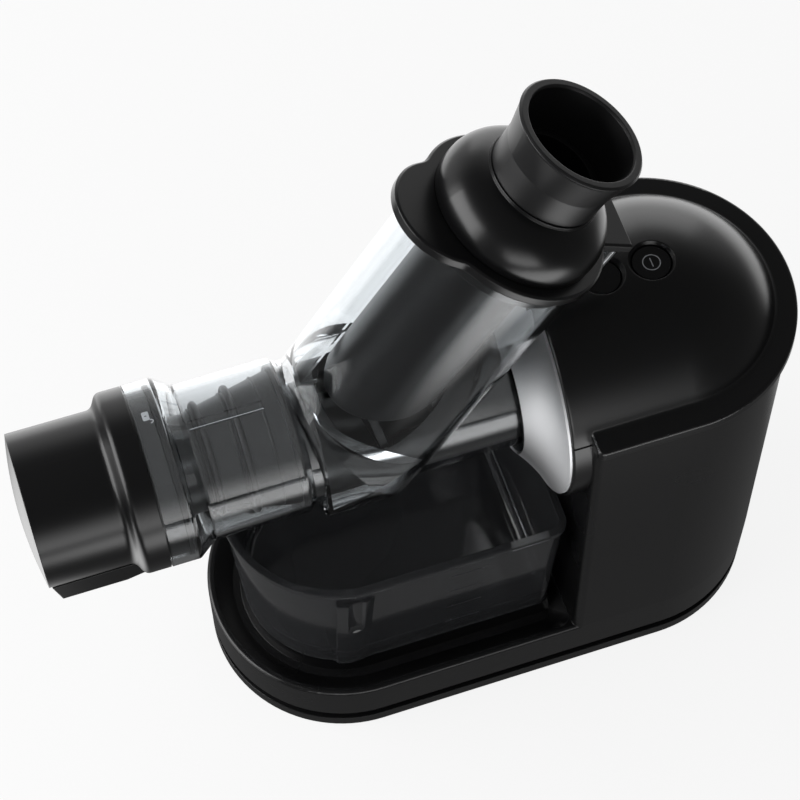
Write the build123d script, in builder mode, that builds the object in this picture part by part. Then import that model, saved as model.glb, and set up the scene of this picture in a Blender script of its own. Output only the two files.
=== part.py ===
from build123d import *
from math import acos, atan, cos, degrees, pi, radians, sin, sqrt, tan
import os

# Cold press juicer with a horizontal auger, a slanted feed tube and a low stand.
# Millimetres. Origin: centre of the stand's underside. +X runs from the pulp
# container to the motor tower, -Y is the side the user works from, +Z is up.

# --- driving dimensions ------------------------------------------------------

barrelRadius = 30.9          # the clear barrel behind the feed tube, which the rest is built round

# stand and tower
towerMargin = 32.1           # from the barrel to the outside of the stand, each side
standHalfWidth = barrelRadius + towerMargin  # also the radius of both round ends
standArcX = 69.0             # the end arcs are centred at x = -standArcX and +standArcX
plateHeight = 7.5            # base plate
grooveHeight = 6.2           # shadow gap above the base plate
grooveInset = 2.0
trayDepth = 23.3             # from the top of the shadow gap to the tray's rim
towerFrontX = 24.0
towerDraft = 2.8             # the tower's sides lean in by this much on each side
wall = 2.8                   # moulded shells of the stand
moatDepth = 7.5
padRadius = 8.0
padThickness = 2.0

# juicing axis and motor head
axisHeight = 182.0
seamAboveAxis = 20.0         # parting line between lower housing and top cover
domeClearance = 5.5          # the dome is this much narrower than the stand, each side
domeFrontX = 16.0
domeEndX = 70.0              # centre of the dome's ball end
lipHeight = 5.0
lipOverhang = 2.2
domeFrontRounding = 1.3
valleyRounding = 2.0         # where the dome meets the lip
seamGroove = 0.6

# brushed cone ring round the drive opening
ringInset = 1.5              # from the dome's edge to the ring's
ringNoseX = 2.7
ringThickness = 1.2

# chamber
frontBarrelRadius = barrelRadius + 2.4       # in front of the feed tube
barrelStep = 24.0            # from the feed tube's axis forward to the step
flangeRadius = frontBarrelRadius + 5.4
flangeFrontX = -149.5
flangeLength = 12.0
shoulderLength = 7.5
clearWall = 2.3
chamberRearX = 14.2
lugHeight = 2.7
lugLength = 4.4
lugAngle = 30.0
twistAngle = 25.0            # turn that frees the chamber from its socket

# slanted feed tube
tubeClearance = 4.365        # from the cone ring's nose to the tube's rear, at the barrel
feedAngle = 60.2             # from +X towards +Z
feedRadius = barrelRadius + 6.1              # it goes on round the barrel as the hub
feedTop = 133.4              # distance of its mouth from the juicing axis
hubReach = 20.0              # from the tube's axis forward to the hub's flat front
spoutOffset = 5.0
spoutRadius = 14.0
spoutGap = 3.0               # from the jug's rim up to the spout

# feed lid and pusher
lidThickness = 4.0
lidRadius = feedRadius + 2.6
lobeCentre = feedRadius - 8.0
lobeRadius = feedRadius - 13.0
tabReach = feedRadius + 15.4
tabWidth = 25.0
stemRadius = feedRadius - 14.5
stemAboveAxis = barrelRadius - 0.9           # the slanted foot of the pusher is level, this far above the axis
domeBaseRadius = feedRadius - 2.2
neckRadius = stemRadius + 0.8
neckRise = 21.5              # height of the pusher's dome
gripLength = 26.9
gripRadius = stemRadius + 0.1
gripTopRadius = gripRadius + 3.6
gripWall = 2.7

# strainer and auger
strainerWall = 1.8
strainerRearX = 13.6
outletX = -136.0             # front end of the strainer's outlet cone
outletRadius = 20.9
coneReach = 5.4              # from the barrel's step forward to the outlet cone
strainerGap = 0.35           # strainer to barrel
augerGap = 0.6               # flights to strainer
augerCoreRadius = 11.0
flightPitch = 27.0
flightThickness = 3.6

# pulp container
containerRadius = flangeRadius - 6.0
containerLength = 50.0       # plain barrel and face, in front of its collar
containerBulge = 3.4
collarGap = 0.7              # between the container's collar and the clear flange
containerWall = 2.4
keelWidth = 50.0
keelDrop = containerRadius + 4.3             # the keel's flat lies this far below the axis

# juice jug
jugArcX = -standArcX - 0.5
jugBottomHalfWidth = standHalfWidth - 16.7
jugTopHalfWidth = jugBottomHalfWidth + 5.0
jugRimHalfWidth = jugTopHalfWidth + 1.1
jugHeadroom = 2.5            # the jug's rim passes this far below the round collar
jugRearX = 18.4
jugWall = 2.0
seatGap = 0.3

# drive train
gearModule = 1.6
sunTeeth = 9
planetTeeth = 12
ringTeeth = sunTeeth + 2 * planetTeeth
planetCount = 3
backlash = 0.16
gearGap = 0.4                # axial gap between neighbouring gear parts
secondFace = 13.0            # tooth length of the second stage
firstFace = 9.0
carrierThickness = 3.4
pinRadius = 3.0
runningGap = 0.05
outputRadius = 7.0
motorRadius = 30.0
motorLength = 44.0
motorShaftRadius = 2.5

# buttons
powerX = 67.6
reverseX = 45.8
buttonRadius = 8.2
buttonGap = 0.3
buttonSeatRadius = 9.9       # mouth of the bevelled well, at the dome's crown
buttonTravel = 1.5

screwRadius = 1.5
screwHeadRadius = 2.8

# --- derived places ----------------------------------------------------------

skirtTop = plateHeight + grooveHeight
trayRim = skirtTop + trayDepth
jugSeat = trayRim + 0.6
seamZ = axisHeight + seamAboveAxis
towerTopHalfWidth = standHalfWidth - towerDraft
domeRadius = standHalfWidth - domeClearance
ringRadius = domeRadius - ringInset
jugTop = axisHeight - domeRadius - jugHeadroom
spoutBottomZ = jugTop + spoutGap
domeWall = wall - 0.2
lipTop = seamZ + lipHeight
collarHalfWidth = sqrt(domeRadius ** 2 - seamAboveAxis ** 2)     # at the parting line
rearX = standArcX + standHalfWidth

# the tube's axis crosses the juicing axis here, to a hundredth of a millimetre
feedX = round(ringNoseX - tubeClearance
              - (feedRadius + barrelRadius * cos(radians(feedAngle))) / sin(radians(feedAngle)), 2)
hubFrontX = feedX - hubReach
barrelStepX = feedX - barrelStep
spoutX = feedX - spoutOffset
coneStartX = barrelStepX - coneReach
feedDir = Vector(cos(radians(feedAngle)), 0, sin(radians(feedAngle)))
feedNormal = Vector(-sin(radians(feedAngle)), 0, cos(radians(feedAngle)))
feedOrigin = Vector(feedX, 0, axisHeight)
feedAxis = Axis(feedOrigin, feedDir)
driveAxis = Axis((0, 0, axisHeight), (1, 0, 0))
feedProfile = Plane(origin=feedOrigin, x_dir=feedNormal, z_dir=(0, 1, 0))  # (n, s) sketches


def feedPlane(distance):
    """Plane across the feed tube, at a distance from the juicing axis."""
    return Plane(origin=feedOrigin + feedDir * distance, x_dir=feedNormal, z_dir=feedDir)


def crossPlane(x):
    """Plane across the juicing axis, centred on it, with local x along +Y."""
    return Plane(origin=(x, 0, axisHeight), x_dir=(0, 1, 0), z_dir=(1, 0, 0))


def finish(part, name):
    """Label one piece and write its STEP file."""
    part.label = name
    export_step(part, os.path.join("parts", name + ".step"))
    print(name, round(part.volume / 1000, 1), "cm3", len(part.solids()), "solid(s)")


def roundEnd(height, halfWidth, arcX, straightX, corner=0.0):
    """Level sketch with one round end about (arcX, 0) and a square end at straightX."""
    side = 1 if arcX > straightX else -1
    with BuildSketch(Plane.XY.offset(height)) as outline:
        with BuildLine():
            Line((straightX, -halfWidth), (arcX, -halfWidth))
            ThreePointArc((arcX, -halfWidth), (arcX + side * halfWidth, 0), (arcX, halfWidth))
            Line((arcX, halfWidth), (straightX, halfWidth))
            Line((straightX, halfWidth), (straightX, -halfWidth))
        make_face()
        if corner > 0:
            fillet([v for v in outline.vertices() if abs(v.X - straightX) < 0.01], corner)
    return outline.sketch


os.makedirs("parts", exist_ok=True)

# --- base plate, pads and base screws ----------------------------------------

plateFloor = 3.0
plateRim = 2.6
screwInset = 18.0
baseScrewSpots = [(x, y) for x in (-standArcX, standArcX)
                  for y in (screwInset - standHalfWidth, standHalfWidth - screwInset)]
padSpots = {
    "pad_front_left": (-standArcX - 22, 20 - standHalfWidth),
    "pad_front_right": (standArcX + 22, 20 - standHalfWidth),
    "pad_rear_left": (-standArcX - 22, standHalfWidth - 20),
    "pad_rear_right": (standArcX + 22, standHalfWidth - 20),
}
baseScrewTop = skirtTop + 6

with BuildPart() as base_plate:
    with BuildSketch():
        SlotCenterToCenter(2 * standArcX, 2 * standHalfWidth)
    extrude(amount=plateHeight)
    chamfer(base_plate.edges().group_by(Axis.Z)[0], 0.8)
    with BuildSketch(Plane.XY.offset(plateFloor)):
        SlotCenterToCenter(2 * standArcX, 2 * (standHalfWidth - plateRim))
    extrude(amount=plateHeight, mode=Mode.SUBTRACT)
    with BuildSketch(Plane.XY.offset(plateFloor)):
        with Locations(*baseScrewSpots):
            Circle(screwHeadRadius + 2.2)
    extrude(amount=plateHeight - plateFloor)
    with Locations(*[(x, y, 0) for x, y in padSpots.values()]):
        Cylinder(padRadius + 0.1, padThickness, align=(Align.CENTER, Align.CENTER, Align.MIN),
                 mode=Mode.SUBTRACT)
    with Locations(*[(x, y, 0) for x, y in baseScrewSpots]):
        Cylinder(screwRadius + 0.2, plateHeight, align=(Align.CENTER, Align.CENTER, Align.MIN),
                 mode=Mode.SUBTRACT)
        Cylinder(screwHeadRadius + 0.2, plateFloor, align=(Align.CENTER, Align.CENTER, Align.MIN),
                 mode=Mode.SUBTRACT)
finish(base_plate.part, "base_plate")

for padName, (padX, padY) in padSpots.items():
    with BuildPart(Plane(origin=(padX, padY, 0))) as pad:
        Cylinder(padRadius, padThickness, align=(Align.CENTER, Align.CENTER, Align.MIN))
        chamfer(pad.edges().group_by(Axis.Z)[0], 0.4)
    finish(pad.part, padName)

with BuildPart() as base_screws:
    with Locations(*[(x, y, plateFloor) for x, y in baseScrewSpots]):
        Cylinder(screwRadius, baseScrewTop - plateFloor,
                 align=(Align.CENTER, Align.CENTER, Align.MIN))
        Cylinder(screwHeadRadius, 1.8, align=(Align.CENTER, Align.CENTER, Align.MAX))
finish(base_screws.part, "base_screws")

# --- lower housing -----------------------------------------------------------
# One moulded shell: the low tray with its raised jug seat, the hollow tower and
# the lower part of the round collar that carries the steel ring.

socketBodyRadius = barrelRadius + 7.2
wallHoleRadius = socketBodyRadius + 0.3
rimRounding = 1.8
moatFloor = trayRim - moatDepth
moatRimInset = 3.0
moatFloorInset = 11.5
moatRearRun = 6.0            # length of the moat's slope in front of the tower
seatHalfWidth = jugBottomHalfWidth - 0.3
seatDraft = 1.6
caseScrewRadius = socketBodyRadius + 3.2
caseFlangeRadius = caseScrewRadius + 5.7
caseScrewAngles = (45, 135, 225, 315)
glandRadius = 5.0
glandZ = skirtTop + 10.3
boardPostSpots = [(-26, 62), (26, 62), (-26, 112), (26, 112)]
boardX = towerFrontX + wall + 12.0

with BuildPart() as lower_housing:
    with BuildSketch(Plane.XY.offset(plateHeight)):
        SlotCenterToCenter(2 * standArcX, 2 * (standHalfWidth - grooveInset))
    extrude(amount=grooveHeight)
    with BuildSketch(Plane.XY.offset(skirtTop)):
        SlotCenterToCenter(2 * standArcX, 2 * standHalfWidth)
    extrude(amount=trayDepth)
    fillet(lower_housing.edges().group_by(Axis.Z)[-1], rimRounding)
    # drafted tower, round behind and square in front
    add(roundEnd(trayRim - rimRounding - 1, standHalfWidth, standArcX, towerFrontX, 4.0))
    extrude(amount=rimRounding + 1)
    add(roundEnd(trayRim, standHalfWidth, standArcX, towerFrontX, 4.0))
    add(roundEnd(seamZ, towerTopHalfWidth, standArcX, towerFrontX, 4.0))
    loft()
    # moat round the jug seat
    add(roundEnd(trayRim, standHalfWidth - moatRimInset, -standArcX, towerFrontX - 0.5, 5.0))
    add(roundEnd(moatFloor, standHalfWidth - moatFloorInset, -standArcX,
                 towerFrontX - 0.5 - moatRearRun, 5.0))
    loft(mode=Mode.SUBTRACT)
    innerRim = [e for e in lower_housing.edges() if abs(e.bounding_box().min.Z - trayRim) < 0.01
                and abs(e.bounding_box().max.Z - trayRim) < 0.01
                and e.bounding_box().max.X < towerFrontX - 0.2
                and max(abs(e.bounding_box().min.Y), abs(e.bounding_box().max.Y))
                < standHalfWidth - moatRimInset + 0.1
                and e.bounding_box().min.X > -rearX + moatRimInset - 0.1]
    fillet(innerRim, 1.0)
    # raised seat for the jug
    add(roundEnd(moatFloor - 1, seatHalfWidth + seatDraft, jugArcX, jugRearX + seatDraft, 5.0))
    add(roundEnd(jugSeat, seatHalfWidth, jugArcX, jugRearX, 5.0))
    loft()
    # round collar round the drive opening, up to the parting line
    with BuildSketch(crossPlane(domeFrontX)):
        Circle(domeRadius)
        with Locations((0, seamAboveAxis + domeRadius)):
            Rectangle(2.2 * domeRadius, 2 * domeRadius, mode=Mode.SUBTRACT)
    extrude(amount=towerFrontX - domeFrontX + 1)
    fillet([e for e in lower_housing.edges().filter_by(GeomType.CIRCLE)
            if abs(e.center().X - domeFrontX) < 0.01 and abs(e.radius - domeRadius) < 0.01],
           domeFrontRounding)
    # hollow tower
    add(roundEnd(plateHeight, standHalfWidth - grooveInset - wall, standArcX, towerFrontX + wall))
    extrude(amount=grooveHeight, mode=Mode.SUBTRACT)
    add(roundEnd(skirtTop, standHalfWidth - grooveInset - wall, standArcX, towerFrontX + wall))
    add(roundEnd(seamZ, towerTopHalfWidth - wall, standArcX, towerFrontX + wall))
    loft(mode=Mode.SUBTRACT)
    # hollow collar behind a front wall
    with BuildSketch(crossPlane(domeFrontX + wall)):
        Circle(domeRadius - wall)
        with Locations((0, seamAboveAxis + domeRadius)):
            Rectangle(2.2 * domeRadius, 2 * domeRadius, mode=Mode.SUBTRACT)
    extrude(amount=towerFrontX - domeFrontX + 1, mode=Mode.SUBTRACT)
    with BuildSketch(crossPlane(domeFrontX - 1)):
        Circle(wallHoleRadius)
    extrude(amount=towerFrontX, mode=Mode.SUBTRACT)
    # hollow under the tray and under the jug seat
    add(roundEnd(plateHeight, standHalfWidth - grooveInset - wall, -standArcX, towerFrontX + wall + 1))
    extrude(amount=moatFloor - wall - plateHeight, mode=Mode.SUBTRACT)
    add(roundEnd(plateHeight, seatHalfWidth - wall, jugArcX, jugRearX - wall))
    extrude(amount=jugSeat - wall - plateHeight, mode=Mode.SUBTRACT)
    # screw bosses for the base plate, webbed to the side walls
    for bossX, bossY in baseScrewSpots:
        webReach = standHalfWidth - grooveInset - wall / 2 - abs(bossY)
        webY = bossY + webReach / 2 * (1 if bossY > 0 else -1)
        with Locations((bossX, webY, plateHeight)):
            Box(2.4, webReach, moatFloor - plateHeight - 0.5,
                align=(Align.CENTER, Align.CENTER, Align.MIN))
    with Locations(*[(x, y, plateHeight) for x, y in baseScrewSpots]):
        Cylinder(screwHeadRadius + 1.6, moatFloor - plateHeight - 0.5,
                 align=(Align.CENTER, Align.CENTER, Align.MIN))
        Cylinder(screwRadius, baseScrewTop - plateHeight + 1,
                 align=(Align.CENTER, Align.CENTER, Align.MIN), mode=Mode.SUBTRACT)
    # posts for the control board
    with Locations(*[Location((towerFrontX + wall - 0.5, y, z), (0, 90, 0))
                     for y, z in boardPostSpots]):
        Cylinder(3.2, boardX - towerFrontX - wall + 0.5,
                 align=(Align.CENTER, Align.CENTER, Align.MIN))
    # hole for the cord gland
    with Locations(Location((rearX - 8, 0, glandZ), (0, 90, 0))):
        Cylinder(glandRadius + 0.05, 12, align=(Align.CENTER, Align.CENTER, Align.MIN),
                 mode=Mode.SUBTRACT)
    # screw holes of the gearbox case
    for angle in caseScrewAngles:
        screwY = caseScrewRadius * cos(radians(angle))
        screwZ = axisHeight + caseScrewRadius * sin(radians(angle))
        if screwZ < seamZ:
            with Locations(Location((domeFrontX - 1, screwY, screwZ), (0, 90, 0))):
                Cylinder(screwRadius + 0.1, wall + 2, align=(Align.CENTER, Align.CENTER, Align.MIN),
                         mode=Mode.SUBTRACT)
    # shadow groove round the parting line
    with BuildSketch(Plane.XY.offset(seamZ - seamGroove)):
        Rectangle(4 * rearX, 4 * standHalfWidth)
        with Locations((standArcX, 0)):
            Circle(towerTopHalfWidth - seamGroove, mode=Mode.SUBTRACT)
        with Locations((standArcX, 0)):
            RectangleRounded(2 * (standArcX - towerFrontX - seamGroove),
                             2 * (towerTopHalfWidth - seamGroove), 4.0, mode=Mode.SUBTRACT)
        with Locations((towerFrontX, 0)):
            Rectangle(2 * (towerFrontX - domeFrontX - seamGroove), 2 * (collarHalfWidth - seamGroove),
                      mode=Mode.SUBTRACT)
    extrude(amount=seamGroove + 1, mode=Mode.SUBTRACT)
finish(lower_housing.part, "lower_housing")

# --- top cover ---------------------------------------------------------------
# A dome with the shape of a capsule about the juicing axis, standing in a flat
# lip that overhangs the tower.

buttonRecess = 2.3           # the buttons' faces lie this far below the dome's crown
buttonTopZ = axisHeight + domeRadius - buttonRecess

with BuildPart() as top_cover:
    with BuildSketch(crossPlane(domeFrontX)):
        Circle(domeRadius)
    extrude(amount=domeEndX - domeFrontX)
    with Locations((domeEndX, 0, axisHeight)):
        Sphere(domeRadius)
    with BuildSketch(crossPlane(domeFrontX)):
        Circle(domeRadius)
    extrude(amount=-domeRadius, mode=Mode.SUBTRACT)
    fillet([e for e in top_cover.edges().filter_by(GeomType.CIRCLE)
            if abs(e.center().X - domeFrontX) < 0.01], domeFrontRounding)
    with BuildSketch(Plane.XY.offset(seamZ - domeRadius * 2)):
        Rectangle(6 * domeRadius, 3 * domeRadius)
    extrude(amount=domeRadius * 2, mode=Mode.SUBTRACT)
    add(roundEnd(seamZ, towerTopHalfWidth + lipOverhang, standArcX, towerFrontX, 3.0))
    extrude(amount=lipHeight, taper=3)
    valley = [e for e in top_cover.edges() if abs(e.bounding_box().min.Z - lipTop) < 0.01
              and abs(e.bounding_box().max.Z - lipTop) < 0.01
              and max(abs(e.bounding_box().min.Y), abs(e.bounding_box().max.Y)) < domeRadius
              and e.bounding_box().max.X < domeEndX + domeRadius]
    fillet(valley, valleyRounding)
    lipEdges = [e for e in top_cover.edges() if abs(e.center().Z - lipTop) < 0.01
                and abs(e.bounding_box().max.Z - lipTop) < 0.01
                and max(abs(e.bounding_box().min.Y), e.bounding_box().max.X - standArcX)
                > towerTopHalfWidth]
    fillet(lipEdges, 1.4)
    # hollow inside
    with BuildSketch(Plane.XZ):
        with BuildLine():
            domeBore = domeRadius - domeWall
            Polyline((domeEndX + domeBore, axisHeight), (domeFrontX + wall, axisHeight),
                     (domeFrontX + wall, axisHeight + domeBore), (domeEndX, axisHeight + domeBore))
            ThreePointArc((domeEndX, axisHeight + domeBore),
                          (domeEndX + domeBore * cos(radians(45)),
                           axisHeight + domeBore * sin(radians(45))),
                          (domeEndX + domeBore, axisHeight))
        make_face()
    revolve(axis=driveAxis, mode=Mode.SUBTRACT)
    add(roundEnd(seamZ, towerTopHalfWidth - wall, standArcX, towerFrontX + wall))
    extrude(amount=lipHeight - wall + 0.4, mode=Mode.SUBTRACT)
    with BuildSketch(crossPlane(domeFrontX - 1)):
        Circle(wallHoleRadius)
    extrude(amount=wall + 3, mode=Mode.SUBTRACT)
    # button wells with a bevelled seat
    with Locations((powerX, 0, axisHeight + domeRadius), (reverseX, 0, axisHeight + domeRadius)):
        Cylinder(buttonRadius + buttonGap, 14, mode=Mode.SUBTRACT)
        Cone(buttonRadius + buttonGap, 2 * buttonSeatRadius - buttonRadius - buttonGap,
             2 * buttonRecess, mode=Mode.SUBTRACT)
    for angle in caseScrewAngles:
        screwY = caseScrewRadius * cos(radians(angle))
        screwZ = axisHeight + caseScrewRadius * sin(radians(angle))
        if screwZ > seamZ:
            with Locations(Location((domeFrontX - 1, screwY, screwZ), (0, 90, 0))):
                Cylinder(screwRadius + 0.1, wall + 2, align=(Align.CENTER, Align.CENTER, Align.MIN),
                         mode=Mode.SUBTRACT)
finish(top_cover.part, "top_cover")

# --- brushed cone ring and drive socket --------------------------------------

ringBackX = domeFrontX - 0.1
ringNoseRadius = barrelRadius + 4.1
socketNoseX = ringNoseX + 0.6
socketStep = 5.6             # length of the socket's slimmer front end, inside the cone ring
socketBackX = domeFrontX + wall
lugX = chamberRearX - lugLength
entryAngle = lugAngle + 4.0

with BuildPart() as collar_ring:
    with BuildSketch(Plane.XZ):
        with BuildLine():
            ThreePointArc((ringNoseX, axisHeight + ringNoseRadius),
                          ((ringNoseX + ringBackX) / 2 + 0.5,
                           axisHeight + (ringNoseRadius + ringRadius) / 2 - 0.3),
                          (ringBackX - 1.0, axisHeight + ringRadius))
            Line((ringBackX - 1.0, axisHeight + ringRadius), (ringBackX, axisHeight + ringRadius))
            Line((ringBackX, axisHeight + ringRadius),
                 (ringBackX, axisHeight + ringRadius - 1.6 * ringThickness))
            ThreePointArc((ringBackX, axisHeight + ringRadius - 1.6 * ringThickness),
                          ((ringNoseX + ringBackX) / 2 + 0.5 + ringThickness,
                           axisHeight + (ringNoseRadius + ringRadius) / 2 - 0.3 - ringThickness),
                          (ringNoseX + 1.5 * ringThickness, axisHeight + ringNoseRadius - 0.4))
            Line((ringNoseX + 1.5 * ringThickness, axisHeight + ringNoseRadius - 0.4),
                 (ringNoseX, axisHeight + ringNoseRadius))
        make_face()
    revolve(axis=driveAxis)
finish(collar_ring.part, "collar_ring")

with BuildPart() as drive_socket:
    with BuildSketch(crossPlane(socketNoseX)):
        Circle(ringNoseRadius - 0.8)
        Circle(barrelRadius + 0.3, mode=Mode.SUBTRACT)
    extrude(amount=socketStep)
    with BuildSketch(crossPlane(socketNoseX + socketStep)):
        Circle(socketBodyRadius)
        Circle(barrelRadius + 0.3, mode=Mode.SUBTRACT)
    extrude(amount=socketBackX - socketNoseX - socketStep)
    with BuildSketch(crossPlane(domeFrontX - 3.0)):
        Circle(caseFlangeRadius - 1.6)
        Circle(socketBodyRadius - 1, mode=Mode.SUBTRACT)
    extrude(amount=2.9)
    # annular track for the lugs, and three entries a twist away from them
    with BuildSketch(crossPlane(lugX - 0.3)):
        Circle(barrelRadius + lugHeight + 0.3)
    extrude(amount=lugLength + 0.6, mode=Mode.SUBTRACT)
    with BuildSketch(crossPlane(socketNoseX - 1)):
        for index in range(3):
            with PolarLocations(0, 1, start_angle=90 - twistAngle + 120 * index):
                with BuildLine():
                    reach = barrelRadius + lugHeight + 0.3
                    half = radians(entryAngle / 2)
                    Polyline((10, 0), (reach * cos(half), -reach * sin(half)),
                             (reach * 1.005, 0), (reach * cos(half), reach * sin(half)), close=True)
                make_face()
    extrude(amount=lugX - socketNoseX + 1.2, mode=Mode.SUBTRACT)
    for angle in caseScrewAngles:
        screwY = caseScrewRadius * cos(radians(angle))
        screwZ = axisHeight + caseScrewRadius * sin(radians(angle))
        with Locations(Location((domeFrontX - 6, screwY, screwZ), (0, 90, 0))):
            Cylinder(screwRadius + 0.1, 12, mode=Mode.SUBTRACT)
finish(drive_socket.part, "drive_socket")

# --- gear train --------------------------------------------------------------


def gearOutline(teeth, thin, addendum=0.86, dedendum=1.12, pressure=25.0, phase=0.0):
    """Closed outline of an involute gear, one tooth centred on the angle phase.

    The tooth is thinned by a distance at the pitch circle. Each flank is two
    chords of the involute that starts at the base circle.
    """
    pitch = gearModule * teeth / 2
    base = pitch * cos(radians(pressure))
    tip = pitch + addendum * gearModule
    root = pitch - dedendum * gearModule
    rollAtPitch = tan(radians(pressure)) - radians(pressure)
    halfAtPitch = (pi * gearModule / 2 - thin) / 2 / pitch

    def halfAngle(radius):
        """Half the angle that the tooth fills at this radius."""
        ratio = min(1.0, base / radius)
        roll = sqrt(1 / ratio ** 2 - 1) - acos(ratio)
        return halfAtPitch + rollAtPitch - roll

    radii = [max(base, root), pitch, tip]
    points = []
    for tooth in range(teeth):
        centre = radians(phase) + 2 * pi * tooth / teeth
        flank = [(root, halfAngle(radii[0]))] + [(r, halfAngle(r)) for r in radii]
        if root >= base:
            flank = flank[1:]
        for radius, half in flank:
            points.append((radius * cos(centre - half), radius * sin(centre - half)))
        for radius, half in reversed(flank):
            points.append((radius * cos(centre + half), radius * sin(centre + half)))
    return points


planetOrbit = gearModule * (sunTeeth + planetTeeth) / 2
planetAngles = [90 + 360 * index / planetCount for index in range(planetCount)]
ringPitch = gearModule * ringTeeth / 2
ringToothPhase = 90 + 180 / ringTeeth       # the tool's gap, so the ring's tooth, is at the top
caseRadius = ringPitch + 1.3 * gearModule + 5.2
caseFrontX = socketBackX + 0.1
casePlate = 4.6
carrierFrontX = caseFrontX + casePlate + gearGap
secondX = carrierFrontX + carrierThickness + gearGap
firstCarrierX = secondX + secondFace + gearGap
firstX = firstCarrierX + carrierThickness + gearGap
caseBackX = firstX + firstFace + 1.6
carrierRadius = planetOrbit + pinRadius + 3.6
planetPhase = 180 / planetTeeth             # a gap faces the sun and the ring

with BuildPart() as gearbox_case:
    with BuildSketch(crossPlane(caseFrontX)):
        Circle(caseFlangeRadius)
    extrude(amount=3.4)
    with BuildSketch(crossPlane(caseFrontX)):
        Circle(caseRadius)
    extrude(amount=caseBackX - caseFrontX)
    with BuildSketch(crossPlane(carrierFrontX - gearGap)):
        Circle(carrierRadius + 0.8)
    extrude(amount=carrierThickness + 1.5 * gearGap, mode=Mode.SUBTRACT)
    with BuildSketch(crossPlane(secondX - gearGap / 2)):
        with BuildLine():
            Polyline(*gearOutline(ringTeeth, -backlash, addendum=1.0, dedendum=0.84,
                                  phase=ringToothPhase), close=True)
        make_face()
    extrude(amount=caseBackX - secondX + 1, mode=Mode.SUBTRACT)
    with BuildSketch(crossPlane(caseFrontX - 1)):
        Circle(outputRadius + 4.0)
    extrude(amount=casePlate + 2, mode=Mode.SUBTRACT)
    with BuildSketch(crossPlane(caseFrontX - 1)):
        with PolarLocations(caseScrewRadius, len(caseScrewAngles), start_angle=45):
            Circle(screwRadius)
    extrude(amount=6, mode=Mode.SUBTRACT)
finish(gearbox_case.part, "gearbox_case")

with BuildPart() as case_screws:
    for angle in caseScrewAngles:
        screwY = caseScrewRadius * cos(radians(angle))
        screwZ = axisHeight + caseScrewRadius * sin(radians(angle))
        with Locations(Location((domeFrontX - 3.0, screwY, screwZ), (0, 90, 0))):
            Cylinder(screwRadius, 9.2, align=(Align.CENTER, Align.CENTER, Align.MIN))
            Cylinder(screwHeadRadius, 1.6, align=(Align.CENTER, Align.CENTER, Align.MAX))
finish(case_screws.part, "case_screws")

for stage, gearX, face in (("second", secondX, secondFace), ("first", firstX, firstFace)):
    for index, angle in enumerate(planetAngles):
        centreY = planetOrbit * cos(radians(angle))
        centreZ = planetOrbit * sin(radians(angle))
        planetPlane = Plane(origin=(gearX, centreY, axisHeight + centreZ),
                            x_dir=(0, cos(radians(angle)), sin(radians(angle))), z_dir=(1, 0, 0))
        with BuildPart() as planet:
            with BuildSketch(planetPlane):
                with BuildLine():
                    Polyline(*gearOutline(planetTeeth, backlash, phase=planetPhase), close=True)
                make_face()
                Circle(pinRadius + runningGap, mode=Mode.SUBTRACT)
            extrude(amount=face)
        finish(planet.part, "%s_planet_%d" % (stage, index + 1))

bearingOuter = outputRadius + 4.0 - 0.02
dogFlats = 13.0
dogLength = 15.0
shaftFrontX = chamberRearX - dogLength + 2.0
shaftBaseX = chamberRearX + 2.4

with BuildPart() as output_carrier:
    with BuildSketch(crossPlane(carrierFrontX)):
        Circle(carrierRadius)
    extrude(amount=carrierThickness)
    with BuildSketch(crossPlane(carrierFrontX + carrierThickness)):
        with PolarLocations(planetOrbit, planetCount, start_angle=90):
            Circle(pinRadius)
    extrude(amount=secondFace + gearGap)
    with BuildSketch(crossPlane(shaftBaseX)):
        Circle(outputRadius)
    extrude(amount=carrierFrontX - shaftBaseX + 0.5)
    with BuildSketch(crossPlane(shaftFrontX)):
        RegularPolygon(dogFlats / 2, 6, major_radius=False)
    extrude(amount=shaftBaseX - shaftFrontX + 0.5)
finish(output_carrier.part, "output_carrier")

with BuildPart() as first_carrier:
    with BuildSketch(crossPlane(firstCarrierX)):
        Circle(carrierRadius)
    extrude(amount=carrierThickness)
    with BuildSketch(crossPlane(firstCarrierX + carrierThickness)):
        with PolarLocations(planetOrbit, planetCount, start_angle=90):
            Circle(pinRadius)
    extrude(amount=firstFace + gearGap)
    with BuildSketch(crossPlane(secondX)):
        with BuildLine():
            Polyline(*gearOutline(sunTeeth, backlash, phase=90), close=True)
        make_face()
    extrude(amount=secondFace + gearGap + 0.1)
finish(first_carrier.part, "first_carrier")

with BuildPart() as output_bearing:
    with BuildSketch(crossPlane(caseFrontX + 1.6)):
        Circle(bearingOuter)
        Circle(outputRadius + runningGap, mode=Mode.SUBTRACT)
    extrude(amount=casePlate - 1.6)
finish(output_bearing.part, "output_bearing")

with BuildPart() as shaft_seal:
    with BuildSketch(crossPlane(caseFrontX - 1.4)):
        Circle(bearingOuter)
        Circle(outputRadius + runningGap, mode=Mode.SUBTRACT)
    extrude(amount=3.0)
finish(shaft_seal.part, "shaft_seal")

# --- motor -------------------------------------------------------------------

canFrontX = caseBackX + 0.1
canBackX = canFrontX + motorLength
canWall = 2.0
bellLength = 6.0
armatureRadius = 20.0

with BuildPart() as motor_can:
    with BuildSketch(crossPlane(canFrontX)):
        Circle(motorRadius)
    extrude(amount=motorLength)
    with BuildSketch(crossPlane(canFrontX + canWall)):
        Circle(motorRadius - canWall)
    extrude(amount=motorLength, mode=Mode.SUBTRACT)
    with BuildSketch(crossPlane(canFrontX - 1)):
        Circle(motorShaftRadius + runningGap)
    extrude(amount=canWall + 2, mode=Mode.SUBTRACT)
finish(motor_can.part, "motor_can")

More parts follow.
